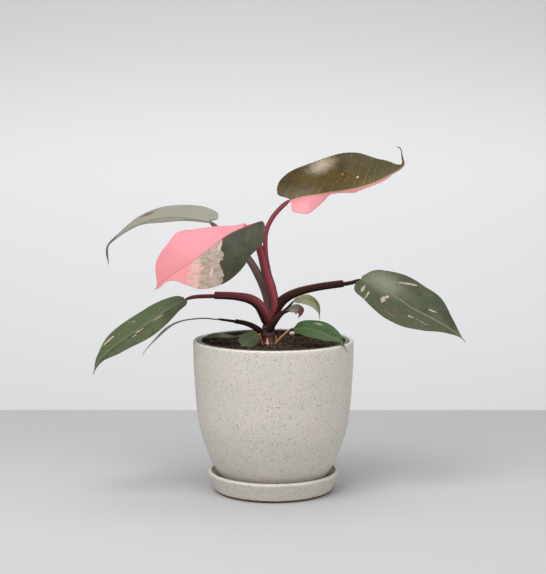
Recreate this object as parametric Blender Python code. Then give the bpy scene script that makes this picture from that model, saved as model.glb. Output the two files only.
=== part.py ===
"""A pink princess philodendron in its nursery pot, set in a stoneware pot on a saucer.

Metres, +Z up. The origin is the centre of the saucer's underside, where it meets the table.
The plant's front faces -Y.
"""

import math

import bmesh
import bpy
import numpy as np
from mathutils import Vector

# Fits shared by all the pieces.
GAP = 0.0003                     # left between pieces that touch
POT_SIDES = 48                   # faces round the turned pieces

# Saucer: flared wall, a small step up to the unglazed foot.
SAUCER_RIM_RADIUS = 0.0574
SAUCER_HEIGHT = 0.0177
SAUCER_BASE_RADIUS = 0.0515
SAUCER_WALL = 0.0037
SAUCER_FLOOR = 0.0060
SAUCER_FOOT_STEP = 0.0012

# Stoneware pot: nearly straight wall, then a long round-over to a smaller base.
POT_RADIUS = 0.0700
POT_RIM_HEIGHT = 0.1329
POT_WALL = 0.0036
POT_FLOOR = 0.0062
POT_BASE_RADIUS = 0.0400
POT_DRAIN_RADIUS = 0.0060

# Plastic nursery pot, which stands on the stoneware pot's floor.
LINER_RADIUS = 0.0662
LINER_TOP = 0.1327
LINER_LIP_WIDTH = 0.0031
LINER_LIP_DEPTH = 0.0058
LINER_WALL = 0.0010
LINER_BASE_RADIUS = 0.0395
LINER_HOLES = 6
LINER_HOLE_RADIUS = 0.0035

# Potting mix.
SOIL_TOP = 0.1272                # mean height of its surface
SOIL_RELIEF = 0.0011             # how far crumbs and hollows depart from it
SOIL_SIDES = 40
SOIL_RINGS = 7

# Main stem, upright out of the soil.
STEM_X = -0.0043
STEM_ROOT_DEPTH = 0.0150
STEM_TOP = 0.1590

# Leaf blades.
BLADE_THICKNESS = 0.0007
BLADE_COLUMNS = (0.0, 0.09, 0.38, 0.70, 1.0)   # from the midrib to the margin
RIB_KEEL = 0.0011                # how far the midrib stands out below, at the stalk


def material(name, colour, roughness, metallic=0.0):
    """A plain Principled material of its own for one piece."""
    made = bpy.data.materials.new(name)
    made.use_nodes = True
    shader = made.node_tree.nodes["Principled BSDF"]
    shader.inputs["Base Color"].default_value = (*colour, 1.0)
    shader.inputs["Roughness"].default_value = roughness
    shader.inputs["Metallic"].default_value = metallic
    return made


def finish_piece(bm, name, colour, roughness):
    """Turns a closed bmesh into a smooth-shaded object with its own material."""
    bmesh.ops.recalc_face_normals(bm, faces=bm.faces)
    mesh = bpy.data.meshes.new(name)
    bm.to_mesh(mesh)
    bm.free()
    mesh.shade_smooth()
    mesh.set_sharp_from_angle(angle=math.radians(40))
    piece = bpy.data.objects.new(name, mesh)
    bpy.context.collection.objects.link(piece)
    mesh.materials.append(material(name, colour, roughness))
    return piece


def cut(piece, cutter, solver="EXACT"):
    """Takes the cutter's volume out of a piece, for good, and removes the cutter.

    The manifold solver is for stalks and thin walls, where the exact one leaves open edges.
    """
    cutter.hide_render = True
    cutter.display_type = "WIRE"
    step = piece.modifiers.new("cut", "BOOLEAN")
    step.operation = "DIFFERENCE"
    step.solver = solver
    step.object = cutter
    graph = bpy.context.evaluated_depsgraph_get()
    result = bpy.data.meshes.new_from_object(piece.evaluated_get(graph))
    piece.modifiers.clear()
    spent = piece.data
    piece.data = result
    result.name = piece.name
    bpy.data.meshes.remove(spent)
    bpy.data.objects.remove(cutter)


def drop_scraps(piece):
    """Leaves only the largest body of a piece whose cuts came away in several."""
    bm = bmesh.new()
    bm.from_mesh(piece.data)
    left = set(bm.faces)
    bodies = []
    while left:
        body = {left.pop()}
        edge = list(body)
        while edge:
            near = {other for line in edge.pop().edges for other in line.link_faces} & left
            left -= near
            body |= near
            edge += near
        bodies.append(body)
    bodies.sort(key=len)
    scraps = [face for body in bodies[:-1] for face in body]
    bmesh.ops.delete(bm, geom=scraps, context="FACES")
    bm.to_mesh(piece.data)
    bm.free()


def smooth_path(points, count):
    """A smooth curve through the hand-placed points, as evenly spaced ones."""
    knots = np.array(points, float)
    ends = (2 * knots[0] - knots[1], 2 * knots[-1] - knots[-2])
    knots = np.vstack([ends[0], knots, ends[1]])
    fine = []
    for before, start, end, after in zip(knots, knots[1:], knots[2:], knots[3:]):
        for t in np.linspace(0.0, 1.0, 16, endpoint=False):
            fine.append(0.5 * (2 * start + (end - before) * t
                               + (2 * before - 5 * start + 4 * end - after) * t ** 2
                               + (3 * start - before - 3 * end + after) * t ** 3))
    fine = np.array(fine + [knots[-2]])
    steps = np.linalg.norm(np.diff(fine, axis=0), axis=1)
    along = np.concatenate([[0.0], np.cumsum(steps)])
    wanted = np.linspace(0.0, along[-1], count)
    return np.array([np.interp(wanted, along, fine[:, axis]) for axis in range(knots.shape[1])]).T


def directions(path):
    """Unit tangents along a path."""
    along = np.gradient(path, axis=0)
    return along / np.linalg.norm(along, axis=1, keepdims=True)


def square_to(vectors, along):
    """The part of each vector square to the path, at unit length."""
    flat = vectors - (vectors * along).sum(axis=1, keepdims=True) * along
    return flat / np.linalg.norm(flat, axis=1, keepdims=True)


def arc(centre, radius, start, end, count):
    """Profile points round a corner, angles in degrees from +X."""
    turns = np.radians(np.linspace(start, end, count))
    return [(centre[0] + radius * math.cos(a), centre[1] + radius * math.sin(a)) for a in turns]


def turned(name, profile, sides, colour, roughness, height=None):
    """Spins a closed profile of (radius, z) round the Z axis.

    A profile that starts and ends on the axis gives a plug, any other one a ring.
    The height function, if there is one, adds relief to the points it is given.
    """
    bm = bmesh.new()
    rings = []
    for radius, z in profile:
        count = 1 if radius == 0 else sides
        ring = []
        for k in range(count):
            turn = 2 * math.pi * k / sides
            x, y = radius * math.cos(turn), radius * math.sin(turn)
            rise = height(x, y, z) if height else 0.0
            ring.append(bm.verts.new((x, y, z + rise)))
        rings.append(ring)
    closed = profile[0][0] > 0
    pairs = list(zip(rings, rings[1:] + rings[:1])) if closed else list(zip(rings, rings[1:]))
    for upper, lower in pairs:
        for k in range(sides):
            n = (k + 1) % sides
            face = [upper[k % len(upper)], upper[n % len(upper)],
                    lower[n % len(lower)], lower[k % len(lower)]]
            corners = list(dict.fromkeys(face))
            if len(corners) > 2:
                bm.faces.new(corners)
    return finish_piece(bm, name, colour, roughness)


def saucer():
    """The dish under the pot."""
    half = SAUCER_WALL / 2
    rim = (SAUCER_RIM_RADIUS - half, SAUCER_HEIGHT - half)
    inner_foot = SAUCER_BASE_RADIUS - SAUCER_WALL - 0.0015
    profile = arc(rim, half, 180, -20, 7)
    profile += [
        (SAUCER_BASE_RADIUS + 0.0012, SAUCER_FOOT_STEP + 0.0012),
        (SAUCER_BASE_RADIUS, SAUCER_FOOT_STEP),
        (SAUCER_BASE_RADIUS - 0.0008, 0.0),
        (0.0, 0.0),
        (0.0, SAUCER_FLOOR),
        (inner_foot - 0.0030, SAUCER_FLOOR),
        (inner_foot, SAUCER_FLOOR + 0.0010),
        (inner_foot + 0.0020, SAUCER_FLOOR + 0.0040),
    ]
    start = profile.index((0.0, SAUCER_FLOOR))
    ordered = profile[start:] + profile[:start]
    return turned("saucer", ordered, POT_SIDES, (0.52, 0.50, 0.45), 0.55)


def pot_outer_wall():
    """The stoneware pot's outside, from under its rim to its base, as (radius, z)."""
    base = SAUCER_FLOOR + GAP
    shape = ((POT_RADIUS, 0.1290), (0.0694, 0.1040), (0.0665, 0.0664), (0.0617, 0.0449),
             (0.0540, 0.0252), (0.0462, base + 0.0060), (POT_BASE_RADIUS + 0.0012, base + 0.0010))
    return [tuple(point) for point in smooth_path(shape, 11)]


def ceramic_pot():
    """The stoneware pot, with a drain hole in its floor."""
    base = SAUCER_FLOOR + GAP
    floor = base + POT_FLOOR
    outer = pot_outer_wall()
    lip = POT_WALL / 2
    rim = arc((POT_RADIUS - lip, POT_RIM_HEIGHT - lip), lip, 180, 20, 5)
    inner = [(radius - POT_WALL, z) for radius, z in outer[1::2] if z > floor + 0.0080]
    corner = (inner[-1][0] - 0.0045, floor)
    profile = rim + outer
    profile += [(POT_BASE_RADIUS, base), (POT_DRAIN_RADIUS, base), (POT_DRAIN_RADIUS, floor), corner]
    profile += inner[::-1]
    return turned("ceramic_pot", profile, POT_SIDES, (0.52, 0.50, 0.45), 0.5)


def liner_shape():
    """Key heights and radii of the nursery pot: its floor and how its wall widens."""
    foot = SAUCER_FLOOR + 2 * GAP + POT_FLOOR
    body_top = LINER_RADIUS - LINER_LIP_WIDTH + LINER_WALL
    return foot, body_top


def liner_inner_radius(z):
    """Inside radius of the nursery pot at a height."""
    foot, body_top = liner_shape()
    share = (z - foot) / (LINER_TOP - LINER_LIP_DEPTH - foot)
    bulge = 0.0080 * math.sin(math.pi * min(max(share, 0.0), 1.0)) ** 0.8
    return LINER_BASE_RADIUS + (body_top - LINER_BASE_RADIUS) * share + bulge - LINER_WALL


def nursery_pot():
    """The thin plastic pot, with a rolled lip and drain holes."""
    foot, body_top = liner_shape()
    under_lip = LINER_TOP - LINER_LIP_DEPTH
    heights = np.linspace(foot + 0.0040, under_lip, 5)
    outer = [(liner_inner_radius(z) + LINER_WALL, z) for z in heights[::-1]]
    inner = [(liner_inner_radius(z), z) for z in heights]
    profile = [
        (LINER_RADIUS - 0.0005, LINER_TOP),
        (LINER_RADIUS, LINER_TOP - 0.0008),
        (LINER_RADIUS, under_lip),
    ]
    profile += outer
    profile += [(LINER_BASE_RADIUS - 0.0015, foot), (0.0, foot), (0.0, foot + LINER_WALL)]
    profile += [(LINER_BASE_RADIUS - 0.0025, foot + LINER_WALL)] + inner
    profile += [(body_top - LINER_WALL, LINER_TOP)]
    start = profile.index((0.0, foot + LINER_WALL))
    pot = turned("nursery_pot", profile[start:] + profile[:start], SOIL_SIDES, (0.035, 0.037, 0.04), 0.4)
    for k in range(LINER_HOLES):
        turn = 2 * math.pi * (k + 0.5) / LINER_HOLES
        place = (0.027 * math.cos(turn), 0.027 * math.sin(turn), foot)
        cut(pot, plug("hole", place, LINER_HOLE_RADIUS, 0.004, -0.004), "MANIFOLD")
    return pot


def plug(name, place, radius, top, bottom, sides=10):
    """An upright cylinder, used as a cutter, between two heights over its place."""
    bm = bmesh.new()
    bmesh.ops.create_cone(bm, cap_ends=True, segments=sides, radius1=radius, radius2=radius,
                          depth=top - bottom)
    bmesh.ops.translate(bm, verts=bm.verts, vec=Vector(place) + Vector((0, 0, (top + bottom) / 2)))
    mesh = bpy.data.meshes.new(name)
    bm.to_mesh(mesh)
    bm.free()
    cutter = bpy.data.objects.new(name, mesh)
    bpy.context.collection.objects.link(cutter)
    return cutter


def soil_height(x, y):
    """Relief of the potting mix: a few broad lumps and finer crumbs, flatter at the wall."""
    reach = math.hypot(x, y) / 0.060
    broad = math.sin(95 * x + 1.3) * math.cos(80 * y - 0.4)
    crumbs = math.sin(310 * x + 140 * y) * math.sin(260 * y - 190 * x + 0.8)
    mound = 0.0012 * (1 - reach ** 2)
    return (0.55 * broad + 0.45 * crumbs) * SOIL_RELIEF * (1 - 0.6 * reach) + mound


def soil(holes):
    """Potting mix that fills the nursery pot, with plain holes for the stems."""
    foot, _ = liner_shape()
    bottom = foot + LINER_WALL + GAP
    heights = np.linspace(SOIL_TOP, bottom + 0.0050, 5)
    wall = [(liner_inner_radius(z) - GAP, z) for z in heights]
    rings = [(wall[0][0] * k / SOIL_RINGS, SOIL_TOP) for k in range(SOIL_RINGS)]
    profile = rings + wall + [(LINER_BASE_RADIUS - 0.0040, bottom), (0.0, bottom)]

    def relief(x, y, z):
        return soil_height(x, y) if z == SOIL_TOP else 0.0

    mix = turned("soil", profile, SOIL_SIDES, (0.035, 0.022, 0.015), 0.95, relief)
    for hole in holes:
        cut(mix, hole)
    return mix


def tube(name, path, across, widths, depths, curls, colour, roughness=0.45, sides=8, sheath=None):
    """A stalk swept along a path.

    Its section is an ellipse, half as wide and deep as the widths and depths say at even
    steps along the path. A curl bends the section's two edges towards the channel side,
    which gives the winged stalk that wraps the stem. A sheath, which ends at a share of the
    path, makes the stalk thicker all round and thicker still on the channel side.
    """
    count = len(path)
    share = np.linspace(0.0, 1.0, count)
    swollen, rise = np.zeros(count), np.zeros(count)
    if sheath:
        end, more, upper = sheath
        wanted = np.sort(np.append(share, (end - 0.004, end + 0.004)))
        path = np.array([np.interp(wanted, share, axis) for axis in path.T]).T
        count, share = len(wanted), wanted
        swollen, rise = more * (share < end), upper * (share < end)
    along = directions(path)
    side = square_to(np.tile(np.array(across, float), (count, 1)), along)
    channel = np.cross(along, side)
    width = np.interp(share, np.linspace(0, 1, len(widths)), widths) + swollen
    depth = np.interp(share, np.linspace(0, 1, len(depths)), depths) + swollen
    curl = np.interp(share, np.linspace(0, 1, len(curls)), curls)
    bm = bmesh.new()
    rings = []
    for k in range(count):
        ring = []
        for turn in np.linspace(0, 2 * math.pi, sides, endpoint=False):
            a = math.cos(turn)
            b = math.sin(turn) * depth[k] + max(math.sin(turn), 0.0) * rise[k] + curl[k] * a * a
            ring.append(bm.verts.new(path[k] + side[k] * a * width[k] + channel[k] * b))
        rings.append(ring)
    for first, second in zip(rings, rings[1:]):
        for k in range(sides):
            n = (k + 1) % sides
            bm.faces.new((first[k], first[n], second[n], second[k]))
    bm.faces.new(rings[0])
    bm.faces.new(rings[-1][::-1])
    bmesh.ops.triangulate(bm, faces=[face for face in bm.faces if len(face.verts) > 4])
    return finish_piece(bm, name, colour, roughness)


# Stalks of the leaves. The points run from the main stem to the blade. Half widths, half
# depths and curls are given at even steps along the stalk.
BURGUNDY = (0.16, 0.018, 0.045)
DARK_STALK = (0.055, 0.018, 0.022)
STALKS = {
    "top": dict(
        points=((-0.0010, 0.0020, 0.1560), (-0.0010, 0.0044, 0.1700), (-0.0034, 0.0056, 0.1880),
                (-0.0066, 0.0060, 0.2060), (-0.0066, 0.0060, 0.2250), (-0.0012, 0.0058, 0.2382),
                (0.0066, 0.0050, 0.2476), (0.0130, 0.0042, 0.2532)),
        across=(1.0, 0.2, 0.0), widths=(0.0024, 0.0021, 0.0021, 0.0020),
        depths=(0.0020, 0.0019, 0.0018), curls=(0.0, 0.0), colour=BURGUNDY),
    "pink": dict(
        points=((-0.0012, -0.0012, 0.1520), (0.0012, -0.0042, 0.1640), (-0.0010, -0.0046, 0.1760),
                (-0.0062, -0.0042, 0.1915), (-0.0100, -0.0036, 0.2060), (-0.0140, -0.0048, 0.2180),
                (-0.0186, -0.0092, 0.2264), (-0.0233, -0.0160, 0.2321)),
        across=(1.0, 0.0, 0.1), widths=(0.0030, 0.0034, 0.0041, 0.0040, 0.0034, 0.0026, 0.0020),
        depths=(0.0016, 0.0016, 0.0015, 0.0016), curls=(0.0022, 0.0020, 0.0012, 0.0),
        colour=BURGUNDY),
    "back_left": dict(
        points=((-0.0026, 0.0015, 0.1500), (-0.0046, 0.0068, 0.1620), (-0.0078, 0.0112, 0.1745),
                (-0.0145, 0.0160, 0.1895), (-0.0240, 0.0200, 0.2040), (-0.0365, 0.0242, 0.2165),
                (-0.0480, 0.0266, 0.2268), (-0.0560, 0.0278, 0.2336)),
        across=(1.0, -0.25, 0.0), widths=(0.0034, 0.0036, 0.0037, 0.0030, 0.0022, 0.0019),
        depths=(0.0022, 0.0019, 0.0018), curls=(0.0008, 0.0), colour=DARK_STALK),
    "lower_left": dict(
        points=((-0.0050, -0.0010, 0.1450), (-0.0090, -0.0052, 0.1560), (-0.0130, -0.0070, 0.1632),
                (-0.0200, -0.0080, 0.1682), (-0.0300, -0.0086, 0.1706), (-0.0420, -0.0092, 0.1716),
                (-0.0560, -0.0096, 0.1718), (-0.0680, -0.0098, 0.1712), (-0.0752, -0.0099, 0.1694)),
        across=(0.0, -1.0, 0.0), widths=(0.0032, 0.0032, 0.0026, 0.0020, 0.0018, 0.0017, 0.0015),
        depths=(0.0032, 0.0034, 0.0028, 0.0020, 0.0018, 0.0018, 0.0015),
        curls=(0.0, 0.0), colour=BURGUNDY, sheath=(0.70, 0.0008, 0.0014)),
    "right": dict(
        points=((0.0002, 0.0006, 0.1520), (0.0048, 0.0000, 0.1625), (0.0115, -0.0004, 0.1692),
                (0.0230, 0.0000, 0.1745), (0.0400, 0.0010, 0.1783), (0.0570, 0.0020, 0.1806),
                (0.0680, 0.0026, 0.1822), (0.0745, 0.0023, 0.1847)),
        across=(0.0, 1.0, 0.0), widths=(0.0030, 0.0028, 0.0024, 0.0020, 0.0019, 0.0018, 0.0017),
        depths=(0.0030, 0.0032, 0.0024, 0.0021, 0.0020, 0.0019, 0.0016),
        curls=(0.0, 0.0), colour=DARK_STALK, sheath=(0.82, 0.0008, 0.0010)),
    "edge_on": dict(
        points=((-0.0056, 0.0015, 0.1300), (-0.0090, 0.0040, 0.1365), (-0.0160, 0.0058, 0.1420),
                (-0.0240, 0.0070, 0.1455), (-0.0350, 0.0080, 0.1476), (-0.0478, 0.0080, 0.1494)),
        across=(0.0, -1.0, 0.0), widths=(0.0026, 0.0022, 0.0016, 0.0013, 0.0011),
        depths=(0.0026, 0.0021, 0.0015, 0.0012, 0.0010), curls=(0.0, 0.0), colour=DARK_STALK,
        sheath=(0.69, 0.0004, 0.0006)),
    "small_curved": dict(
        points=((-0.0044, -0.0030, 0.1400), (-0.0010, -0.0056, 0.1465), (0.0036, -0.0056, 0.1525),
                (0.0080, -0.0030, 0.1570), (0.0122, 0.0010, 0.1604), (0.0168, 0.0050, 0.1648)),
        across=(0.0, 1.0, 0.0), widths=(0.0034, 0.0031, 0.0020, 0.0010, 0.0009),
        depths=(0.0032, 0.0028, 0.0018, 0.0010, 0.0009), curls=(0.0, 0.0), colour=DARK_STALK,
        sheath=(0.58, 0.0003, 0.0004)),
    "small_back": dict(
        points=((-0.0030, 0.0020, 0.1430), (0.0030, 0.0060, 0.1495), (0.0085, 0.0105, 0.1540),
                (0.0128, 0.0136, 0.1558)),
        across=(0.0, 1.0, 0.0), widths=(0.0016, 0.0014, 0.0010), depths=(0.0015, 0.0013, 0.0009),
        curls=(0.0, 0.0), colour=DARK_STALK, sides=6),
    "small_green": dict(
        points=((0.0002, -0.0046, 0.1230), (0.0026, -0.0050, 0.1300), (0.0074, -0.0070, 0.1358),
                (0.0126, -0.0090, 0.1410), (0.0164, -0.0099, 0.1431)),
        across=(0.0, 1.0, 0.0), widths=(0.0014, 0.0014, 0.0012), depths=(0.0014, 0.0013, 0.0011),
        curls=(0.0, 0.0), colour=(0.10, 0.055, 0.025), sides=6),
    "small_front": dict(
        points=((-0.0085, -0.0066, 0.1230), (-0.0100, -0.0072, 0.1300), (-0.0117, -0.0080, 0.1376)),
        across=(1.0, 0.0, 0.0), widths=(0.0009, 0.0008), depths=(0.0009, 0.0008),
        curls=(0.0, 0.0), colour=(0.25, 0.05, 0.04), sides=6),
    "small_left": dict(
        points=((-0.0112, 0.0060, 0.1230), (-0.0132, 0.0054, 0.1296), (-0.0200, 0.0038, 0.1338),
                (-0.0270, 0.0018, 0.1352), (-0.0322, 0.0002, 0.1350)),
        across=(0.0, 1.0, 0.0), widths=(0.0010, 0.0009), depths=(0.0010, 0.0009),
        curls=(0.0, 0.0), colour=(0.09, 0.07, 0.03), sides=6),
}


# Dried bits of old sheaths at the foot of the stem, which stand in the potting mix.
DRY_BITS = {
    "dry_sheath": dict(
        points=((-0.0053, -0.0074, 0.1232), (-0.0054, -0.0074, 0.1285), (-0.0052, -0.0076, 0.1350)),
        across=(1.0, 0.0, 0.0), widths=(0.0017, 0.0016, 0.0004), depths=(0.0006, 0.0004),
        curls=(-0.0005, 0.0), colour=(0.62, 0.36, 0.30), sides=6),
    "dry_stick": dict(
        points=((0.0024, 0.0040, 0.1232), (0.0026, 0.0042, 0.1290), (0.0022, 0.0046, 0.1354)),
        across=(1.0, 0.0, 0.0), widths=(0.0008, 0.0006), depths=(0.0006, 0.0005),
        curls=(0.0, 0.0), colour=(0.60, 0.48, 0.38), sides=6),
    "dry_twig": dict(
        points=((0.0066, 0.0064, 0.1232), (0.0058, 0.0066, 0.1300), (0.0052, 0.0066, 0.1356),
                (0.0062, 0.0066, 0.1416)),
        across=(1.0, 0.0, 0.0), widths=(0.0007, 0.0016, 0.0004), depths=(0.0006, 0.0008, 0.0004),
        curls=(0.0, 0.0), colour=(0.22, 0.10, 0.06), sides=6),
}
PEBBLE_PLACE = (0.0170, 0.0530)
PEBBLE_SIZE = (0.0027, 0.0023, 0.0019)


def perlite_pebble():
    """A pale, slightly lumpy grain of perlite that lies on the potting mix."""
    bm = bmesh.new()
    bmesh.ops.create_icosphere(bm, subdivisions=2, radius=1.0)
    x, y = PEBBLE_PLACE
    rest = SOIL_TOP + SOIL_RELIEF + PEBBLE_SIZE[2]
    for vert in bm.verts:
        lump = 1.0 + 0.07 * math.sin(3.1 * vert.co.x + 2.0) * math.cos(2.7 * vert.co.y - vert.co.z)
        place = [axis * size * lump for axis, size in zip(vert.co, PEBBLE_SIZE)]
        vert.co = Vector((x + place[0], y + place[1], rest + place[2]))
    return finish_piece(bm, "perlite_pebble", (0.55, 0.42, 0.33), 0.85)


def dry_bit(name):
    """One of the dried bits at the foot of the stem."""
    spec = DRY_BITS[name]
    path = smooth_path(spec["points"], 2 * len(spec["points"]) + 1)
    return tube(name, path, spec["across"], spec["widths"], spec["depths"], spec["curls"],
                spec["colour"], 0.7, spec["sides"])


def stem_path(extra_bottom=0.0):
    """Centre line of the main stem, a little bent, from under the soil to its top."""
    bottom = SOIL_TOP - STEM_ROOT_DEPTH - extra_bottom
    points = ((STEM_X, 0.0, bottom), (STEM_X, 0.0, 0.1300), (STEM_X - 0.0002, 0.0004, 0.1400),
              (STEM_X + 0.0008, 0.0004, 0.1500), (STEM_X + 0.0028, 0.0006, STEM_TOP))
    return smooth_path(points, 14)


def main_stem(grown=0.0):
    """The main stem. The same shape grown a little is what the stalks are cut to."""
    widths = (0.0042, 0.0042, 0.0043, 0.0046, 0.0052, 0.0053, 0.0050, 0.0044, 0.0034)
    sizes = [width + grown for width in widths]
    name = "main_stem" if grown == 0 else "stem_room"
    path = stem_path(grown)
    path[-1][2] += grown
    return tube(name, path, (1, 0, 0), sizes, sizes, (0.0, 0.0), (0.075, 0.015, 0.03), 0.5, 12)


def stalk(name, grown=0.0):
    """The stalk of one leaf. Grown a little, it is the room that the others leave it."""
    spec = STALKS[name]
    path = smooth_path(spec["points"], 2 * len(spec["points"]) + 1)
    widths = [width + grown for width in spec["widths"]]
    depths = [depth + grown for depth in spec["depths"]]
    title = "petiole_" + name if grown == 0 else "room"
    return tube(title, path, spec["across"], widths, depths, spec["curls"], spec["colour"],
                sides=spec.get("sides", 8), sheath=spec.get("sheath"))


# Leaf blades. The rib's points run from the stalk to the tip of the blade, and "faces" is
# where the upper side looks at the stalk and at the tip. Left and right are seen from above,
# with the tip ahead. Each half has its width, how far its basal lobe reaches back, how full
# its shoulder is, the degrees that it folds up from flat at the stalk, half way and at the
# tip, the degrees that it curls on towards the margin, how far the lobe dips, and a wave of
# the margin (height, number, phase). The waist is the share of the width left before the
# drip tip, and lobe_at how far out the lobe ends. Lobes and tails are shares of the length.
def half(width, lobe, full, fold, curl, dip=0.0, wave=(0.0, 1.5, 0.0), waist=0.30, lobe_at=0.30,
         late=0.78):
    """The named values of half a blade."""
    return dict(width=width, lobe=lobe, full=full, fold=fold, curl=curl, dip=dip, wave=wave,
                waist=waist, lobe_at=lobe_at, late=late)


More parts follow.
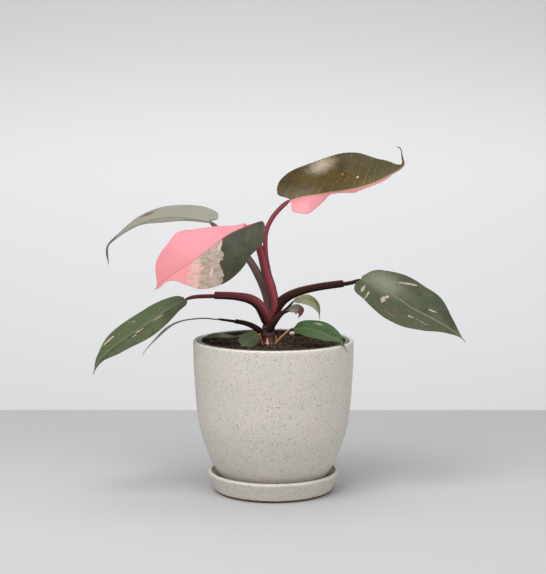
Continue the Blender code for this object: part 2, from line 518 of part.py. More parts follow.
LEAVES = {
    "top": dict(
        rib=((0.0142, 0.0040, 0.2540), (0.0260, 0.0015, 0.2575), (0.0460, -0.0010, 0.2605),
             (0.0680, -0.0015, 0.2640), (0.0860, 0.0005, 0.2690), (0.1010, 0.0040, 0.2760),
             (0.1122, 0.0070, 0.2832), (0.1118, 0.0080, 0.2910), (0.1100, 0.0072, 0.2985),
             (0.1060, 0.0060, 0.3008)),
        faces=((-0.15, -0.20, 0.95), (-0.70, -0.20, 0.70)),
        left=half(0.0318, 0.08, 0.90, (54, 58, 48, 54, 60), (30, 30, 10), wave=(0.001, 1.5, 0.5),
                  waist=0.46, late=0.90),
        right=half(0.034, -0.01, 0.80, (8, 2, 32, 4, 8, 16, 20, 20), (-14, -2, 0), dip=-0.020,
                   wave=(0.003, 1.7, 0.55)),
        widest=0.40, tail=0.15, rows=20, neck=0.0022, colour=(0.13, 0.10, 0.025)),
    "pink": dict(
        rib=((-0.0244, -0.0182, 0.2328), (-0.0390, -0.0245, 0.2262), (-0.0540, -0.0320, 0.2150),
             (-0.0700, -0.0395, 0.2030), (-0.0860, -0.0455, 0.1930), (-0.0997, -0.0500, 0.1816)),
        faces=((0.10, -0.75, 0.55), (0.30, -0.80, 0.50)),
        left=half(0.0325, 0.17, 0.86, (8, 4, 10), (-20, -10, 0), wave=(0.002, 1.2, 0.1),
                  waist=0.12, lobe_at=0.10),
        right=half(0.034, 0.06, 0.50, (-44, -4, 10), (-30, -16, -6), wave=(0.002, 1.2, 0.3),
                   waist=0.50),
        widest=0.38, tail=0.05, rows=18, neck=0.0022, colour=(0.70, 0.16, 0.22)),
    "back_left": dict(
        rib=((-0.0570, 0.0281, 0.2342), (-0.0720, 0.0315, 0.2370), (-0.0900, 0.0350, 0.2378),
             (-0.1090, 0.0392, 0.2355), (-0.1280, 0.0430, 0.2275), (-0.1430, 0.0455, 0.2175),
             (-0.1500, 0.0462, 0.2090), (-0.1489, 0.0450, 0.1940)),
        faces=((0.05, 0.02, 1.0), (-0.55, -0.05, 0.80)),
        left=half(0.026, 0.06, 0.60, (0, 4, 0), (-8, -6, 0), wave=(0.001, 1.5, 0.3)),
        right=half(0.028, 0.05, 0.90, (27, 12, 6), (0, 0, 0), wave=(0.001, 1.5, 0.3)),
        widest=0.36, tail=0.16, tail_width=0.14, rows=18, neck=0.0021, colour=(0.14, 0.16, 0.12)),
    "lower_left": dict(
        rib=((-0.0764, -0.0100, 0.1688), (-0.0900, -0.0150, 0.1620), (-0.1040, -0.0212, 0.1530),
             (-0.1190, -0.0272, 0.1432), (-0.1350, -0.0332, 0.1322), (-0.1475, -0.0372, 0.1210),
             (-0.1531, -0.0400, 0.1080)),
        faces=((0.05, -0.27, 0.95), (-0.30, -0.40, 0.86)),
        left=half(0.022, 0.02, 0.40, (10, 6, 4), (-10, -8, 0), wave=(0.0008, 1.5, 0.2)),
        right=half(0.0200, 0.02, 0.40, (10, 8, 4), (-6, -6, 0), wave=(0.0008, 1.5, 0.2)),
        widest=0.44, tail=0.06, rows=18, neck=0.0019, colour=(0.06, 0.11, 0.035)),
    "right": dict(
        rib=((0.0764, 0.0020, 0.1861), (0.0878, -0.0010, 0.1822), (0.0989, -0.0040, 0.1757),
             (0.1099, -0.0070, 0.1685), (0.1193, -0.0100, 0.1621), (0.1317, -0.0130, 0.1558),
             (0.1463, -0.0160, 0.1479), (0.1595, -0.0180, 0.1392), (0.1654, -0.0190, 0.1330)),
        faces=((0.10, -0.72, 0.60), (0.25, -0.75, 0.60)),
        left=half(0.0262, 0.01, 0.20, (4, 6, 6), (-14, -8, 0), wave=(0.0008, 1.5, 0.1), late=0.92,
                  waist=0.40),
        right=half(0.0248, 0.03, 0.85, (4, 6, 6), (-14, -8, 0), wave=(0.0008, 1.5, 0.1),
                   late=0.74),
        widest=0.36, tail=0.07, rows=18, neck=0.0021, colour=(0.045, 0.08, 0.035)),
    "edge_on": dict(
        rib=((-0.0489, 0.0080, 0.1496), (-0.0601, 0.0080, 0.1507), (-0.0716, 0.0080, 0.1499),
             (-0.0830, 0.0080, 0.1473), (-0.0933, 0.0080, 0.1415), (-0.1028, 0.0080, 0.1327),
             (-0.1105, 0.0080, 0.1247), (-0.1154, 0.0080, 0.1180)),
        faces=((0.0, 0.13, 1.0), (-0.7, 0.10, 0.7)),
        left=half(0.015, 0.03, 0.6, (0, 3, 3), (-3, -3, 0)),
        right=half(0.015, 0.03, 0.6, (0, 0, 0), (2, 2, 0)),
        widest=0.36, tail=0.08, rows=14, neck=0.0014, colour=(0.08, 0.12, 0.05)),
    "small_green": dict(
        rib=((0.0174, -0.0103, 0.1436), (0.0270, -0.0150, 0.1448), (0.0380, -0.0225, 0.1434),
             (0.0480, -0.0300, 0.1398), (0.0566, -0.0366, 0.1364), (0.0625, -0.0412, 0.1282)),
        faces=((0.0, -0.62, 0.78), (0.35, -0.60, 0.70)),
        left=half(0.013, 0.0, 0.5, (6, 6, 6), (-14, -8, 0)),
        right=half(0.011, 0.0, 0.5, (6, 6, 6), (-8, -6, 0)),
        widest=0.40, tail=0.10, rows=12, neck=0.0014, colour=(0.05, 0.16, 0.03)),
    "small_curved": dict(
        rib=((0.0178, 0.0056, 0.1656), (0.0245, 0.0066, 0.1672), (0.0320, 0.0080, 0.1662),
             (0.0376, 0.0092, 0.1615), (0.0403, 0.0100, 0.1550), (0.0409, 0.0104, 0.1478)),
        faces=((0.0, -0.45, 0.90), (0.90, -0.40, 0.10)),
        left=half(0.0070, 0.0, 0.4, (8, 8, 8), (-20, -20, 0)),
        right=half(0.0070, 0.0, 0.4, (8, 8, 8), (-20, -20, 0)),
        widest=0.40, tail=0.12, rows=11, neck=0.0012, colour=(0.16, 0.18, 0.07)),
    "small_back": dict(
        rib=((0.0132, 0.0139, 0.1560), (0.0180, 0.0168, 0.1573), (0.0232, 0.0166, 0.1562),
             (0.0236, 0.0142, 0.1528), (0.0216, 0.0136, 0.1494)),
        faces=((0.0, -0.40, 0.92), (0.10, -0.95, 0.10)),
        left=half(0.0062, 0.0, 0.4, (4, 4, 4), (-6, -6, 0), late=0.80),
        right=half(0.0062, 0.0, 0.4, (4, 4, 4), (-6, -6, 0), late=0.80),
        widest=0.50, tail=0.04, rows=10, neck=0.0012, colour=(0.13, 0.13, 0.10)),
    "small_front": dict(
        rib=((-0.0123, -0.0084, 0.1386), (-0.0165, -0.0118, 0.1372), (-0.0210, -0.0165, 0.1350),
             (-0.0248, -0.0212, 0.1322), (-0.0272, -0.0244, 0.1300)),
        faces=((0.10, -0.75, 0.62), (0.10, -0.75, 0.62)),
        left=half(0.0080, 0.0, 0.2, (6, 6, 6), (-10, -10, 0)),
        right=half(0.0080, 0.0, 0.2, (6, 6, 6), (-10, -10, 0)),
        widest=0.55, tail=0.02, rows=10, neck=0.0010, colour=(0.08, 0.13, 0.06)),
    "small_left": dict(
        rib=((-0.0332, 0.0000, 0.1350), (-0.0400, -0.0012, 0.1362), (-0.0470, -0.0022, 0.1372),
             (-0.0540, -0.0032, 0.1362), (-0.0596, -0.0040, 0.1340)),
        faces=((0.0, -0.12, 1.0), (-0.3, -0.12, 0.95)),
        left=half(0.0085, 0.0, 0.2, (4, 4, 4), (-14, -14, 0)),
        right=half(0.0085, 0.0, 0.2, (4, 4, 4), (-14, -14, 0)),
        widest=0.50, tail=0.03, rows=10, neck=0.0011, colour=(0.13, 0.15, 0.06)),
}


def half_outline(leaf, part, count):
    """Margin of half a blade, in fractions of its length and half width.

    It leaves the neck at the stalk, runs back round the basal lobe, out to the widest place
    and on to the drip tip, as evenly spaced points.
    """
    lobe, full, tail, widest = part["lobe"], part["full"], leaf["tail"], leaf["widest"]
    body = 1.0 - tail
    lean = 1.0 - full
    shape = ((0.0, leaf["neck"] / part["width"]),
             (0.03 * lean - lobe, part["lobe_at"] * full + 0.16 * lean),
             (0.03 + 0.09 * lean - 0.45 * lobe, 0.72 * full + 0.52 * lean), (widest * body, 1.0),
             ((widest + 0.30) * body, part["late"]), ((0.45 * widest + 0.70) * body, part["waist"]),
             (body, leaf.get("tail_width", 0.05 if tail > 0.03 else 0.12)), (1.0, 0.0))
    return smooth_path(shape, count)


def along_blade(values, s):
    """A value given at even steps from the stalk to the tip, read in between."""
    return float(np.interp(s, np.linspace(0.0, 1.0, len(values)), values))


def blade_half(leaf, side, columns=BLADE_COLUMNS):
    """Upper surface of half a blade, as rows of points from the rib to the margin."""
    part = leaf["left"] if side < 0 else leaf["right"]
    rows, width = leaf["rows"], part["width"]
    rib = smooth_path(leaf["rib"], 60)
    length = np.linalg.norm(np.diff(rib, axis=0), axis=1).sum()
    along = directions(rib)
    share = np.linspace(0.0, 1.0, len(rib))[:, None]
    up = square_to(np.array(leaf["faces"][0]) * (1 - share) + np.array(leaf["faces"][1]) * share,
                   along)
    out = np.cross(along, up)
    swell, cycles, phase = part["wave"]
    margin = half_outline(leaf, part, 12 * rows + 1)
    grid = []
    for row in range(rows + 1):
        step = row / rows
        root = step ** 1.5
        edge = margin[round(step * (len(margin) - 1))]
        line = []
        for column in columns:
            s = root + (edge[0] - root) * column ** 1.25
            w = edge[1] * column
            bends = np.radians(along_blade(part["fold"], s)
                               + along_blade(part["curl"], s) * np.linspace(0.0, w, 9))
            lateral = width * w * np.cos(bends).mean()
            lift = width * w * np.sin(bends).mean()
            lift += swell * w * w * math.sin(2 * math.pi * (cycles * s + phase))
            lift += part["dip"] * w ** 1.5 * (1 - np.clip((s + 0.1) / 0.45, 0, 1)) ** 1.5
            at = min(max(s, 0.0), 1.0) * (len(rib) - 1)
            low = min(int(at), len(rib) - 2)
            rest = at - low
            centre = rib[low] * (1 - rest) + rib[low + 1] * rest
            outward = out[low] * (1 - rest) + out[low + 1] * rest
            upward = up[low] * (1 - rest) + up[low + 1] * rest
            behind = along[0] * min(s, 0.0) * length
            line.append(centre + behind + side * outward * lateral + upward * lift)
        grid.append(line)
    return grid


def leaf_blade(name):
    """One leaf blade: both faces share the same triangles, with the rib's keel below."""
    leaf = LEAVES[name]
    rows, columns = leaf["rows"], len(BLADE_COLUMNS)
    places, keels, slots, faces, rims = [], [], {}, [], []
    for side in (-1, 1):
        grid = blade_half(leaf, side)
        index = []
        for r in range(rows + 1):
            line = []
            for c in range(columns):
                key = ("tip", 0) if r == rows else (r, side * c)
                if key not in slots:
                    slots[key] = len(places)
                    places.append(grid[r][c])
                    keels.append(1.0 - r / rows if c == 0 else 0.0)
                line.append(slots[key])
            index.append(line)
        for r in range(rows):
            for c in range(columns - 1):
                a, b = index[r][c], index[r][c + 1]
                d, e = index[r + 1][c], index[r + 1][c + 1]
                for face in ((a, b, e), (a, e, d)):
                    if len(set(face)) == 3:
                        faces.append(face if side > 0 else face[::-1])
        rim = index[0] + [index[r][-1] for r in range(1, rows + 1)]
        rims += zip(rim, rim[1:])

    upper = np.array(places)
    normals = np.zeros_like(upper)
    for a, b, c in faces:
        normal = np.cross(upper[b] - upper[a], upper[c] - upper[a])
        for k in (a, b, c):
            normals[k] += normal
    normals /= np.linalg.norm(normals, axis=1, keepdims=True)
    if np.dot(normals[0], leaf["faces"][0]) < 0:
        normals = -normals
    keel = RIB_KEEL * min(1.0, leaf["neck"] / 0.0020)
    lower = upper - normals * (BLADE_THICKNESS + keel * np.array(keels))[:, None]

    bm = bmesh.new()
    top = [bm.verts.new(place) for place in upper]
    under = [bm.verts.new(place) for place in lower]
    for face in faces:
        bm.faces.new([top[k] for k in face])
        bm.faces.new([under[k] for k in face[::-1]])
    for first, second in rims:
        bm.faces.new((top[first], top[second], under[second]))
        bm.faces.new((top[first], under[second], under[first]))
    return finish_piece(bm, "leaf_" + name, leaf["colour"], 0.4)


def clear_scene():
    """Removes whatever the file holds, so that only the model is left."""
    for old in list(bpy.data.objects):
        bpy.data.objects.remove(old)


def build_stalks():
    """Stalks whose feet are cut to the main stem, and to the stalks made before them."""
    order = ("top", "pink", "right", "back_left", "lower_left", "small_curved", "edge_on",
             "small_back")
    made = []
    for name in order:
        piece = stalk(name)
        cut(piece, main_stem(GAP), "MANIFOLD")
        for earlier in made:
            cut(piece, stalk(earlier, GAP), "MANIFOLD")
        drop_scraps(piece)
        made.append(name)
    for name in ("small_green", "small_front", "small_left"):
        stalk(name)


def stem_holes():
    """Plain holes in the soil for the main stem and for the stalks that rise from it."""
    low = SOIL_TOP - STEM_ROOT_DEPTH - 2 * GAP
    holes = [plug("stem_hole", (STEM_X, 0, low), 0.0042 + 4 * GAP, 0.030, 0.0, 16)]
    for name in ("small_green", "small_front", "small_left"):
        x, y, _ = STALKS[name]["points"][0]
        x2, y2, _ = STALKS[name]["points"][1]
        place = ((x + x2) / 2, (y + y2) / 2, 0.1225)
        holes.append(plug("stalk_hole", place, 0.0030, 0.020, 0.0))
    for spec in DRY_BITS.values():
        x, y, _ = spec["points"][1]
        holes.append(plug("dry_hole", (x, y, 0.1228), max(spec["widths"]) + 2 * GAP, 0.020, 0.0))
    return holes


def main():
    clear_scene()
    saucer()
    ceramic_pot()
    nursery_pot()
    soil(stem_holes())
    main_stem()
    build_stalks()
    for name in LEAVES:
        leaf_blade(name)
    for name in DRY_BITS:
        dry_bit(name)
    perlite_pebble()


main()
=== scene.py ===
import math

import bmesh
import bpy
import numpy as np
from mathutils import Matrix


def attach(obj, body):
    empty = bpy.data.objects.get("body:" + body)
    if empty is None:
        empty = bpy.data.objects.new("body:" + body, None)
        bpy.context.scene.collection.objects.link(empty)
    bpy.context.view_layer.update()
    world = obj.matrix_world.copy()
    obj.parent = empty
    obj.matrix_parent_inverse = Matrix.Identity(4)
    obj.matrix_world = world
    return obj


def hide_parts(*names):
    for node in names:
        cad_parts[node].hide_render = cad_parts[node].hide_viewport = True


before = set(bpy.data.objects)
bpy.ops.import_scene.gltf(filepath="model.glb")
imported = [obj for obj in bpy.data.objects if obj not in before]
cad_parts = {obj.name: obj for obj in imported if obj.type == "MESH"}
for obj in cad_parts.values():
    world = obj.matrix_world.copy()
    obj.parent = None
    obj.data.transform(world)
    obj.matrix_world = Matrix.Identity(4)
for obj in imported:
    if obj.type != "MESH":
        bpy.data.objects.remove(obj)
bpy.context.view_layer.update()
scene = bpy.context.scene
gap = 0.0003                              # left between pieces that touch


# Small tools for building nodes.
def feed(tree, socket, value):            # links a socket, or sets a plain value
    if isinstance(value, bpy.types.NodeSocket):
        tree.links.new(value, socket)
    else:
        socket.default_value = value


def addNode(tree, kind, inputs=None, **settings):
    made = tree.nodes.new(kind)
    for key, value in settings.items():
        setattr(made, key, value)
    for socket, value in (inputs or {}).items():
        feed(tree, made.inputs[socket], value)
    return made


def maths(tree, operation, *values):
    made = addNode(tree, "ShaderNodeMath", operation=operation)
    for socket, value in zip(made.inputs, values):
        feed(tree, socket, value)
    return made.outputs[0]


def plus(tree, first, second):
    return maths(tree, "ADD", first, second)


def minus(tree, first, second):
    return maths(tree, "SUBTRACT", first, second)


def times(tree, first, second):
    return maths(tree, "MULTIPLY", first, second)


def vectors(tree, operation, *values):
    made = addNode(tree, "ShaderNodeVectorMath", operation=operation)
    for socket, value in zip(made.inputs, values):
        feed(tree, socket, value)
    return made.outputs[0]


def scaled(tree, vector, factor):
    made = addNode(tree, "ShaderNodeVectorMath", {0: vector}, operation="SCALE")
    feed(tree, made.inputs["Scale"], factor)
    return made.outputs[0]


def blend(tree, factor, first, second, way="MIX"):
    made = addNode(tree, "ShaderNodeMix", data_type="RGBA", blend_type=way)
    for slot, value in ((0, factor), (6, first), (7, second)):
        feed(tree, made.inputs[slot], value)
    return made.outputs[2]


def stepUp(tree, value, low, high):       # 0 below low, 1 above high, smooth between
    return addNode(tree, "ShaderNodeMapRange", {"Value": value, "From Min": low, "From Max": high},
                   interpolation_type="SMOOTHSTEP").outputs[0]


def objectPlace(tree):                    # Object coordinates, where each piece lies in the plant
    return addNode(tree, "ShaderNodeTexCoord").outputs["Object"]


def split(tree, vector):
    return addNode(tree, "ShaderNodeSeparateXYZ", {0: vector}).outputs


def noiseAt(tree, place, scale, detail, roughness=0.5):
    return addNode(tree, "ShaderNodeTexNoise", {"Vector": place, "Scale": scale, "Detail": detail,
                                                "Roughness": roughness}).outputs[0]


def startGroup(name, inputs, outputs, kind="ShaderNodeTree"):
    tree = bpy.data.node_groups.new(name, kind)
    for label, (socketKind, value) in inputs.items():
        socket = tree.interface.new_socket(name=label, in_out="INPUT",
                                           socket_type="NodeSocket" + socketKind)
        if value is not None:
            socket.default_value = value
    for label, socketKind in outputs.items():
        tree.interface.new_socket(name=label, in_out="OUTPUT",
                                  socket_type="NodeSocket" + socketKind)
    return tree, tree.nodes.new("NodeGroupInput").outputs, tree.nodes.new("NodeGroupOutput").inputs


def useGroup(tree, group, **values):      # spaces in a socket's name are left out here
    made = addNode(tree, "ShaderNodeGroup", node_tree=group)
    sockets = {socket.name.replace(" ", ""): socket for socket in made.inputs}
    for label, value in values.items():
        feed(tree, sockets[label], value)
    return made.outputs


def maskOf(tree, group, **values):        # the one mask that a shared group gives
    return useGroup(tree, groups[group], **values)["Mask"]


def paint(red, green, blue):              # a screen colour, 0 to 255, as a linear one
    return tuple((c / 255 / 12.92 if c < 10.3 else ((c / 255 + 0.055) / 1.055) ** 2.4)
                 for c in (red, green, blue)) + (1.0,)


def newObject(name, data):                # an object that is in the scene
    thing = bpy.data.objects.new(name, data)
    scene.collection.objects.link(thing)
    return thing


def newMaterial(name, roughness, coat=0.0, specular=0.5):
    made = bpy.data.materials.new(name)
    made.use_nodes = True
    shader = made.node_tree.nodes["Principled BSDF"]
    shader.inputs["Roughness"].default_value = roughness
    shader.inputs["Coat Weight"].default_value = coat
    shader.inputs["Coat Roughness"].default_value = 0.2
    shader.inputs["Specular IOR Level"].default_value = specular
    return made, made.node_tree, shader


def addBump(tree, shader, height, distance, strength):
    bump = addNode(tree, "ShaderNodeBump", {"Height": height, "Distance": distance,
                                            "Strength": strength})
    feed(tree, shader.inputs["Normal"], bump.outputs[0])


# Shader groups that several materials share.
def makeFlecks():                         # small round specks, a share of the cells of a net
    tree, give, take = startGroup("flecks", {"Scale": ("Float", 900.0), "Size": ("Float", 0.25),
                                             "Share": ("Float", 0.3), "Shift": ("Float", 0.0)},
                                  {"Mask": "Float"})
    place = vectors(tree, "ADD", objectPlace(tree), give["Shift"])
    cells = addNode(tree, "ShaderNodeTexVoronoi", {"Vector": place, "Scale": give["Scale"]})
    parts = addNode(tree, "ShaderNodeSeparateColor", {0: cells.outputs["Color"]}).outputs
    chosen = maths(tree, "LESS_THAN", parts[0], give["Share"])
    size = times(tree, give["Size"], plus(tree, 0.45, parts[1]))
    spot = minus(tree, 1.0, stepUp(tree, cells.outputs["Distance"], times(tree, size, 0.7), size))
    feed(tree, take["Mask"], times(tree, spot, chosen))
    return tree


def makeMottle():                         # soft cloudy change from 0 to 1
    tree, give, take = startGroup("mottle", {"Scale": ("Float", 60.0), "Detail": ("Float", 3.0),
                                             "Low": ("Float", 0.35), "High": ("Float", 0.65),
                                             "Stretch": ("Vector", (1.0, 1.0, 1.0))},
                                  {"Mask": "Float"})
    place = vectors(tree, "MULTIPLY", objectPlace(tree), give["Stretch"])
    cloud = noiseAt(tree, place, give["Scale"], give["Detail"])
    feed(tree, take["Mask"], stepUp(tree, cloud, give["Low"], give["High"]))
    return tree


def makeBladePlace():                     # where a point lies on its blade
    tree, _, take = startGroup("bladePlace", {}, {"Along": "Float", "Across": "Float",
                                                  "Reach": "Float", "Under": "Float"})
    read = addNode(tree, "ShaderNodeAttribute", attribute_name="bladePlace")
    along, across, under = split(tree, read.outputs["Vector"])
    feed(tree, take["Along"], along)
    feed(tree, take["Across"], across)
    feed(tree, take["Reach"], maths(tree, "ABSOLUTE", across))
    feed(tree, take["Under"], under)
    return tree


def makeVeins():                          # side veins that sweep forward, and the midrib
    tree, give, take = startGroup("veins", {"Along": ("Float", 0.0), "Reach": ("Float", 0.0),
                                            "Count": ("Float", 12.0), "Sweep": ("Float", 0.25),
                                            "Width": ("Float", 0.10), "Rib": ("Float", 0.04)},
                                  {"Lines": "Float", "Midrib": "Float"})
    wander = noiseAt(tree, objectPlace(tree), 45.0, 1.0)
    swept = times(tree, give["Sweep"], maths(tree, "POWER", give["Reach"], 1.25))
    phase = times(tree, minus(tree, give["Along"], swept), give["Count"])
    phase = plus(tree, phase, times(tree, wander, 0.5))
    away = maths(tree, "PINGPONG", phase, 0.5)
    line = minus(tree, 1.0, stepUp(tree, away, 0.0, give["Width"]))
    fade = stepUp(tree, give["Reach"], 1.02, 0.55)
    feed(tree, take["Lines"], times(tree, line, fade))
    feed(tree, take["Midrib"], minus(tree, 1.0, stepUp(
        tree, give["Reach"], times(tree, give["Rib"], 0.45), give["Rib"])))
    return tree


def makeSplash():                         # one ragged patch of variegation
    tree, give, take = startGroup("splash", {"Along": ("Float", 0.0), "Across": ("Float", 0.0),
                                             "At Along": ("Float", 0.5), "At Across": ("Float", 0.5),
                                             "Length": ("Float", 0.1), "Breadth": ("Float", 0.1),
                                             "Lean": ("Float", 0.0), "Ragged": ("Float", 0.5),
                                             "Soft": ("Float", 0.18)},
                                  {"Mask": "Float"})
    torn = noiseAt(tree, objectPlace(tree), 420.0, 3.0)
    torn = times(tree, minus(tree, torn, 0.5), give["Ragged"])
    ahead = minus(tree, give["Along"], give["At Along"])
    aside = minus(tree, minus(tree, give["Across"], give["At Across"]),
                  times(tree, ahead, give["Lean"]))
    ahead = maths(tree, "DIVIDE", ahead, give["Length"])
    aside = maths(tree, "DIVIDE", aside, give["Breadth"])
    away = maths(tree, "SQRT", plus(tree, times(tree, ahead, ahead), times(tree, aside, aside)))
    away = plus(tree, away, times(tree, torn, 3.0))
    inner = minus(tree, 1.0, give["Soft"])
    feed(tree, take["Mask"], minus(tree, 1.0, stepUp(tree, away, inner, 1.0)))
    return tree


def makeBorder():                         # 1 beyond a ragged line across half a blade
    tree, give, take = startGroup("border", {"Along": ("Float", 0.0), "Reach": ("Float", 0.0),
                                             "Start": ("Float", 0.3), "Slope": ("Float", 0.2),
                                             "Ragged": ("Float", 0.1), "Soft": ("Float", 0.01)},
                                  {"Mask": "Float"})
    torn = noiseAt(tree, objectPlace(tree), 130.0, 5.0, 0.62)
    torn = times(tree, minus(tree, torn, 0.5), give["Ragged"])
    line = plus(tree, give["Start"], times(tree, give["Slope"], give["Reach"]))
    beyond = plus(tree, minus(tree, give["Along"], line), torn)
    feed(tree, take["Mask"], stepUp(tree, beyond, times(tree, give["Soft"], -1.0), give["Soft"]))
    return tree


groups = {"flecks": makeFlecks(), "mottle": makeMottle(), "place": makeBladePlace(),
          "veins": makeVeins(), "splash": makeSplash(), "border": makeBorder()}
print("shader groups ready")


# Geometry Nodes: rings swept along a row of points. The pots, the stem and the stalks all use it.
def makeSweepTree():
    tree, give, take = startGroup("sweptRings", {"Geometry": ("Geometry", None), "Sides": ("Int", 24),
                                                 "Material": ("Material", None)},
                                  {"Geometry": "Geometry"}, "GeometryNodeTree")
    count = addNode(tree, "GeometryNodeAttributeDomainSize", {0: give["Geometry"]}).outputs["Point Count"]
    seam = plus(tree, give["Sides"], 1.0)
    grid = addNode(tree, "GeometryNodeMeshGrid", {"Vertices X": count, "Vertices Y": seam})
    index = addNode(tree, "GeometryNodeInputIndex").outputs[0]
    row = maths(tree, "FLOOR", maths(tree, "DIVIDE", plus(tree, index, 0.5), seam))
    column = minus(tree, index, times(tree, row, seam))
    turn = times(tree, maths(tree, "DIVIDE", column, give["Sides"]), 2 * math.pi)
    cosine, sine = maths(tree, "COSINE", turn), maths(tree, "SINE", turn)

    def fromRow(value):
        return addNode(tree, "GeometryNodeSampleIndex", {"Geometry": give["Geometry"], "Value": value,
                                                         "Index": row}, data_type="FLOAT_VECTOR").outputs[0]

    def named(label):
        return addNode(tree, "GeometryNodeInputNamedAttribute", {"Name": label},
                       data_type="FLOAT_VECTOR").outputs[0]

    centre = fromRow(addNode(tree, "GeometryNodeInputPosition").outputs[0])
    across = scaled(tree, fromRow(named("across")), cosine)
    upward = scaled(tree, fromRow(named("upward")), sine)
    bowed = scaled(tree, fromRow(named("bow")), times(tree, cosine, cosine))
    place = vectors(tree, "ADD", vectors(tree, "ADD", centre, across), vectors(tree, "ADD", upward, bowed))
    moved = addNode(tree, "GeometryNodeSetPosition", {"Geometry": grid.outputs[0], "Position": place})
    share = maths(tree, "DIVIDE", row, minus(tree, count, 1.0))
    spot = addNode(tree, "ShaderNodeCombineXYZ", {0: cosine, 1: sine, 2: share}).outputs[0]
    stored = addNode(tree, "GeometryNodeStoreNamedAttribute",
                     {"Geometry": moved.outputs[0], "Name": "ringPlace", "Value": spot},
                     data_type="FLOAT_VECTOR", domain="POINT")
    merged = addNode(tree, "GeometryNodeMergeByDistance", {0: stored.outputs[0], "Distance": 0.000004})
    whole = addNode(tree, "GeometryNodeRealizeInstances", {0: merged.outputs[0]})
    feed(tree, take["Geometry"], addNode(tree, "GeometryNodeSetMaterial", {
        "Geometry": whole.outputs[0], "Material": give["Material"]}).outputs[0])
    return tree


# Geometry Nodes: crumbs strewn over a surface.
def makeStrewTree():
    tree, give, take = startGroup("strewnCrumbs", {
        "Geometry": ("Geometry", None), "Per Square Metre": ("Float", 300000.0),
        "Smallest": ("Float", 0.0004), "Largest": ("Float", 0.0012), "Length": ("Float", 1.0),
        "Flatness": ("Float", 0.7), "Jagged": ("Float", 0.0004), "Seed": ("Int", 1),
        "Material": ("Material", None)}, {"Geometry": "Geometry"}, "GeometryNodeTree")
    room = addNode(tree, "GeometryNodeInputNamedAttribute", {"Name": "room"}, data_type="FLOAT").outputs[0]
    spots = addNode(tree, "GeometryNodeDistributePointsOnFaces", {
        "Mesh": give["Geometry"], "Density": times(tree, give["Per Square Metre"], room),
        "Seed": give["Seed"]})

    def chance(kind, low, high, add):
        made = addNode(tree, "FunctionNodeRandomValue", data_type=kind)
        first, second, out = (0, 1, 0) if kind == "FLOAT_VECTOR" else (2, 3, 1)
        feed(tree, made.inputs[first], low)
        feed(tree, made.inputs[second], high)
        feed(tree, made.inputs["Seed"], plus(tree, give["Seed"], add))
        return made.outputs[out]

    size = chance("FLOAT", give["Smallest"], give["Largest"], 3.0)
    thin = times(tree, size, give["Flatness"])
    long = times(tree, size, give["Length"])
    scale = addNode(tree, "ShaderNodeCombineXYZ", {0: long, 1: size, 2: thin}).outputs[0]
    spin = chance("FLOAT_VECTOR", (-0.6, -0.6, 0.0), (0.6, 0.6, 6.28), 7.0)
    stone = addNode(tree, "GeometryNodeMeshIcoSphere", {"Radius": 1.0, "Subdivisions": 1})
    placed = addNode(tree, "GeometryNodeInstanceOnPoints", {
        "Points": spots.outputs[0], "Instance": stone.outputs[0], "Rotation": spin, "Scale": scale})
    whole = addNode(tree, "GeometryNodeRealizeInstances", {0: placed.outputs[0]})
    position = addNode(tree, "GeometryNodeInputPosition").outputs[0]
    noise = addNode(tree, "ShaderNodeTexNoise", {"Vector": position, "Scale": 1900.0, "Detail": 0.0})
    shove = scaled(tree, vectors(tree, "SUBTRACT", noise.outputs["Color"], (0.5, 0.5, 0.5)),
                   times(tree, give["Jagged"], 2.0))
    moved = addNode(tree, "GeometryNodeSetPosition", {"Geometry": whole.outputs[0], "Offset": shove})
    feed(tree, take["Geometry"], addNode(tree, "GeometryNodeSetMaterial", {
        "Geometry": moved.outputs[0], "Material": give["Material"]}).outputs[0])
    return tree


def grow(name, host, tree, values):       # runs a tree on a host mesh and keeps the plain result
    holder = newObject(name, host)
    modifier = holder.modifiers.new(tree.name, "NODES")
    modifier.node_group = tree
    for item in tree.interface.items_tree:
        if item.in_out == "INPUT" and item.name in values:
            modifier[item.identifier] = values[item.name]
    graph = bpy.context.evaluated_depsgraph_get()
    result = bpy.data.meshes.new_from_object(holder.evaluated_get(graph), depsgraph=graph)
    holder.modifiers.clear()
    holder.data = result
    result.name = name
    bpy.data.meshes.remove(host)
    return holder


def finish(piece, replaced=(), sharp=40):   # outward faces, smooth, riding on the plant
    bm = bmesh.new()
    bm.from_mesh(piece.data)
    bmesh.ops.recalc_face_normals(bm, faces=bm.faces)
    bm.to_mesh(piece.data)
    bm.free()
    piece.data.shade_smooth()
    piece.data.set_sharp_from_angle(angle=math.radians(sharp))
    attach(piece, "root")
    if replaced:
        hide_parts(*replaced)


sweepTree, strewTree = makeSweepTree(), makeStrewTree()


def sweep(name, centres, across, upward, bow, sides, material):
    host = bpy.data.meshes.new(name + "Rows")
    host.from_pydata([tuple(p) for p in centres], [(k, k + 1) for k in range(len(centres) - 1)], [])
    for label, rows in (("across", across), ("upward", upward), ("bow", bow)):
        layer = host.attributes.new(label, "FLOAT_VECTOR", "POINT")
        layer.data.foreach_set("vector", np.asarray(rows, np.float32).ravel())
    return grow(name, host, sweepTree, {"Sides": sides, "Material": material})


def turnedPiece(name, profile, sides, material):  # a profile of (radius, z) spun round Z
    profile = np.array(profile)
    centres, across, upward = (np.zeros((len(profile), 3)) for _ in range(3))
    centres[:, 2] = profile[:, 1]
    across[:, 0] = upward[:, 1] = profile[:, 0]
    return sweep(name, centres, across, upward, np.zeros_like(centres), sides, material)


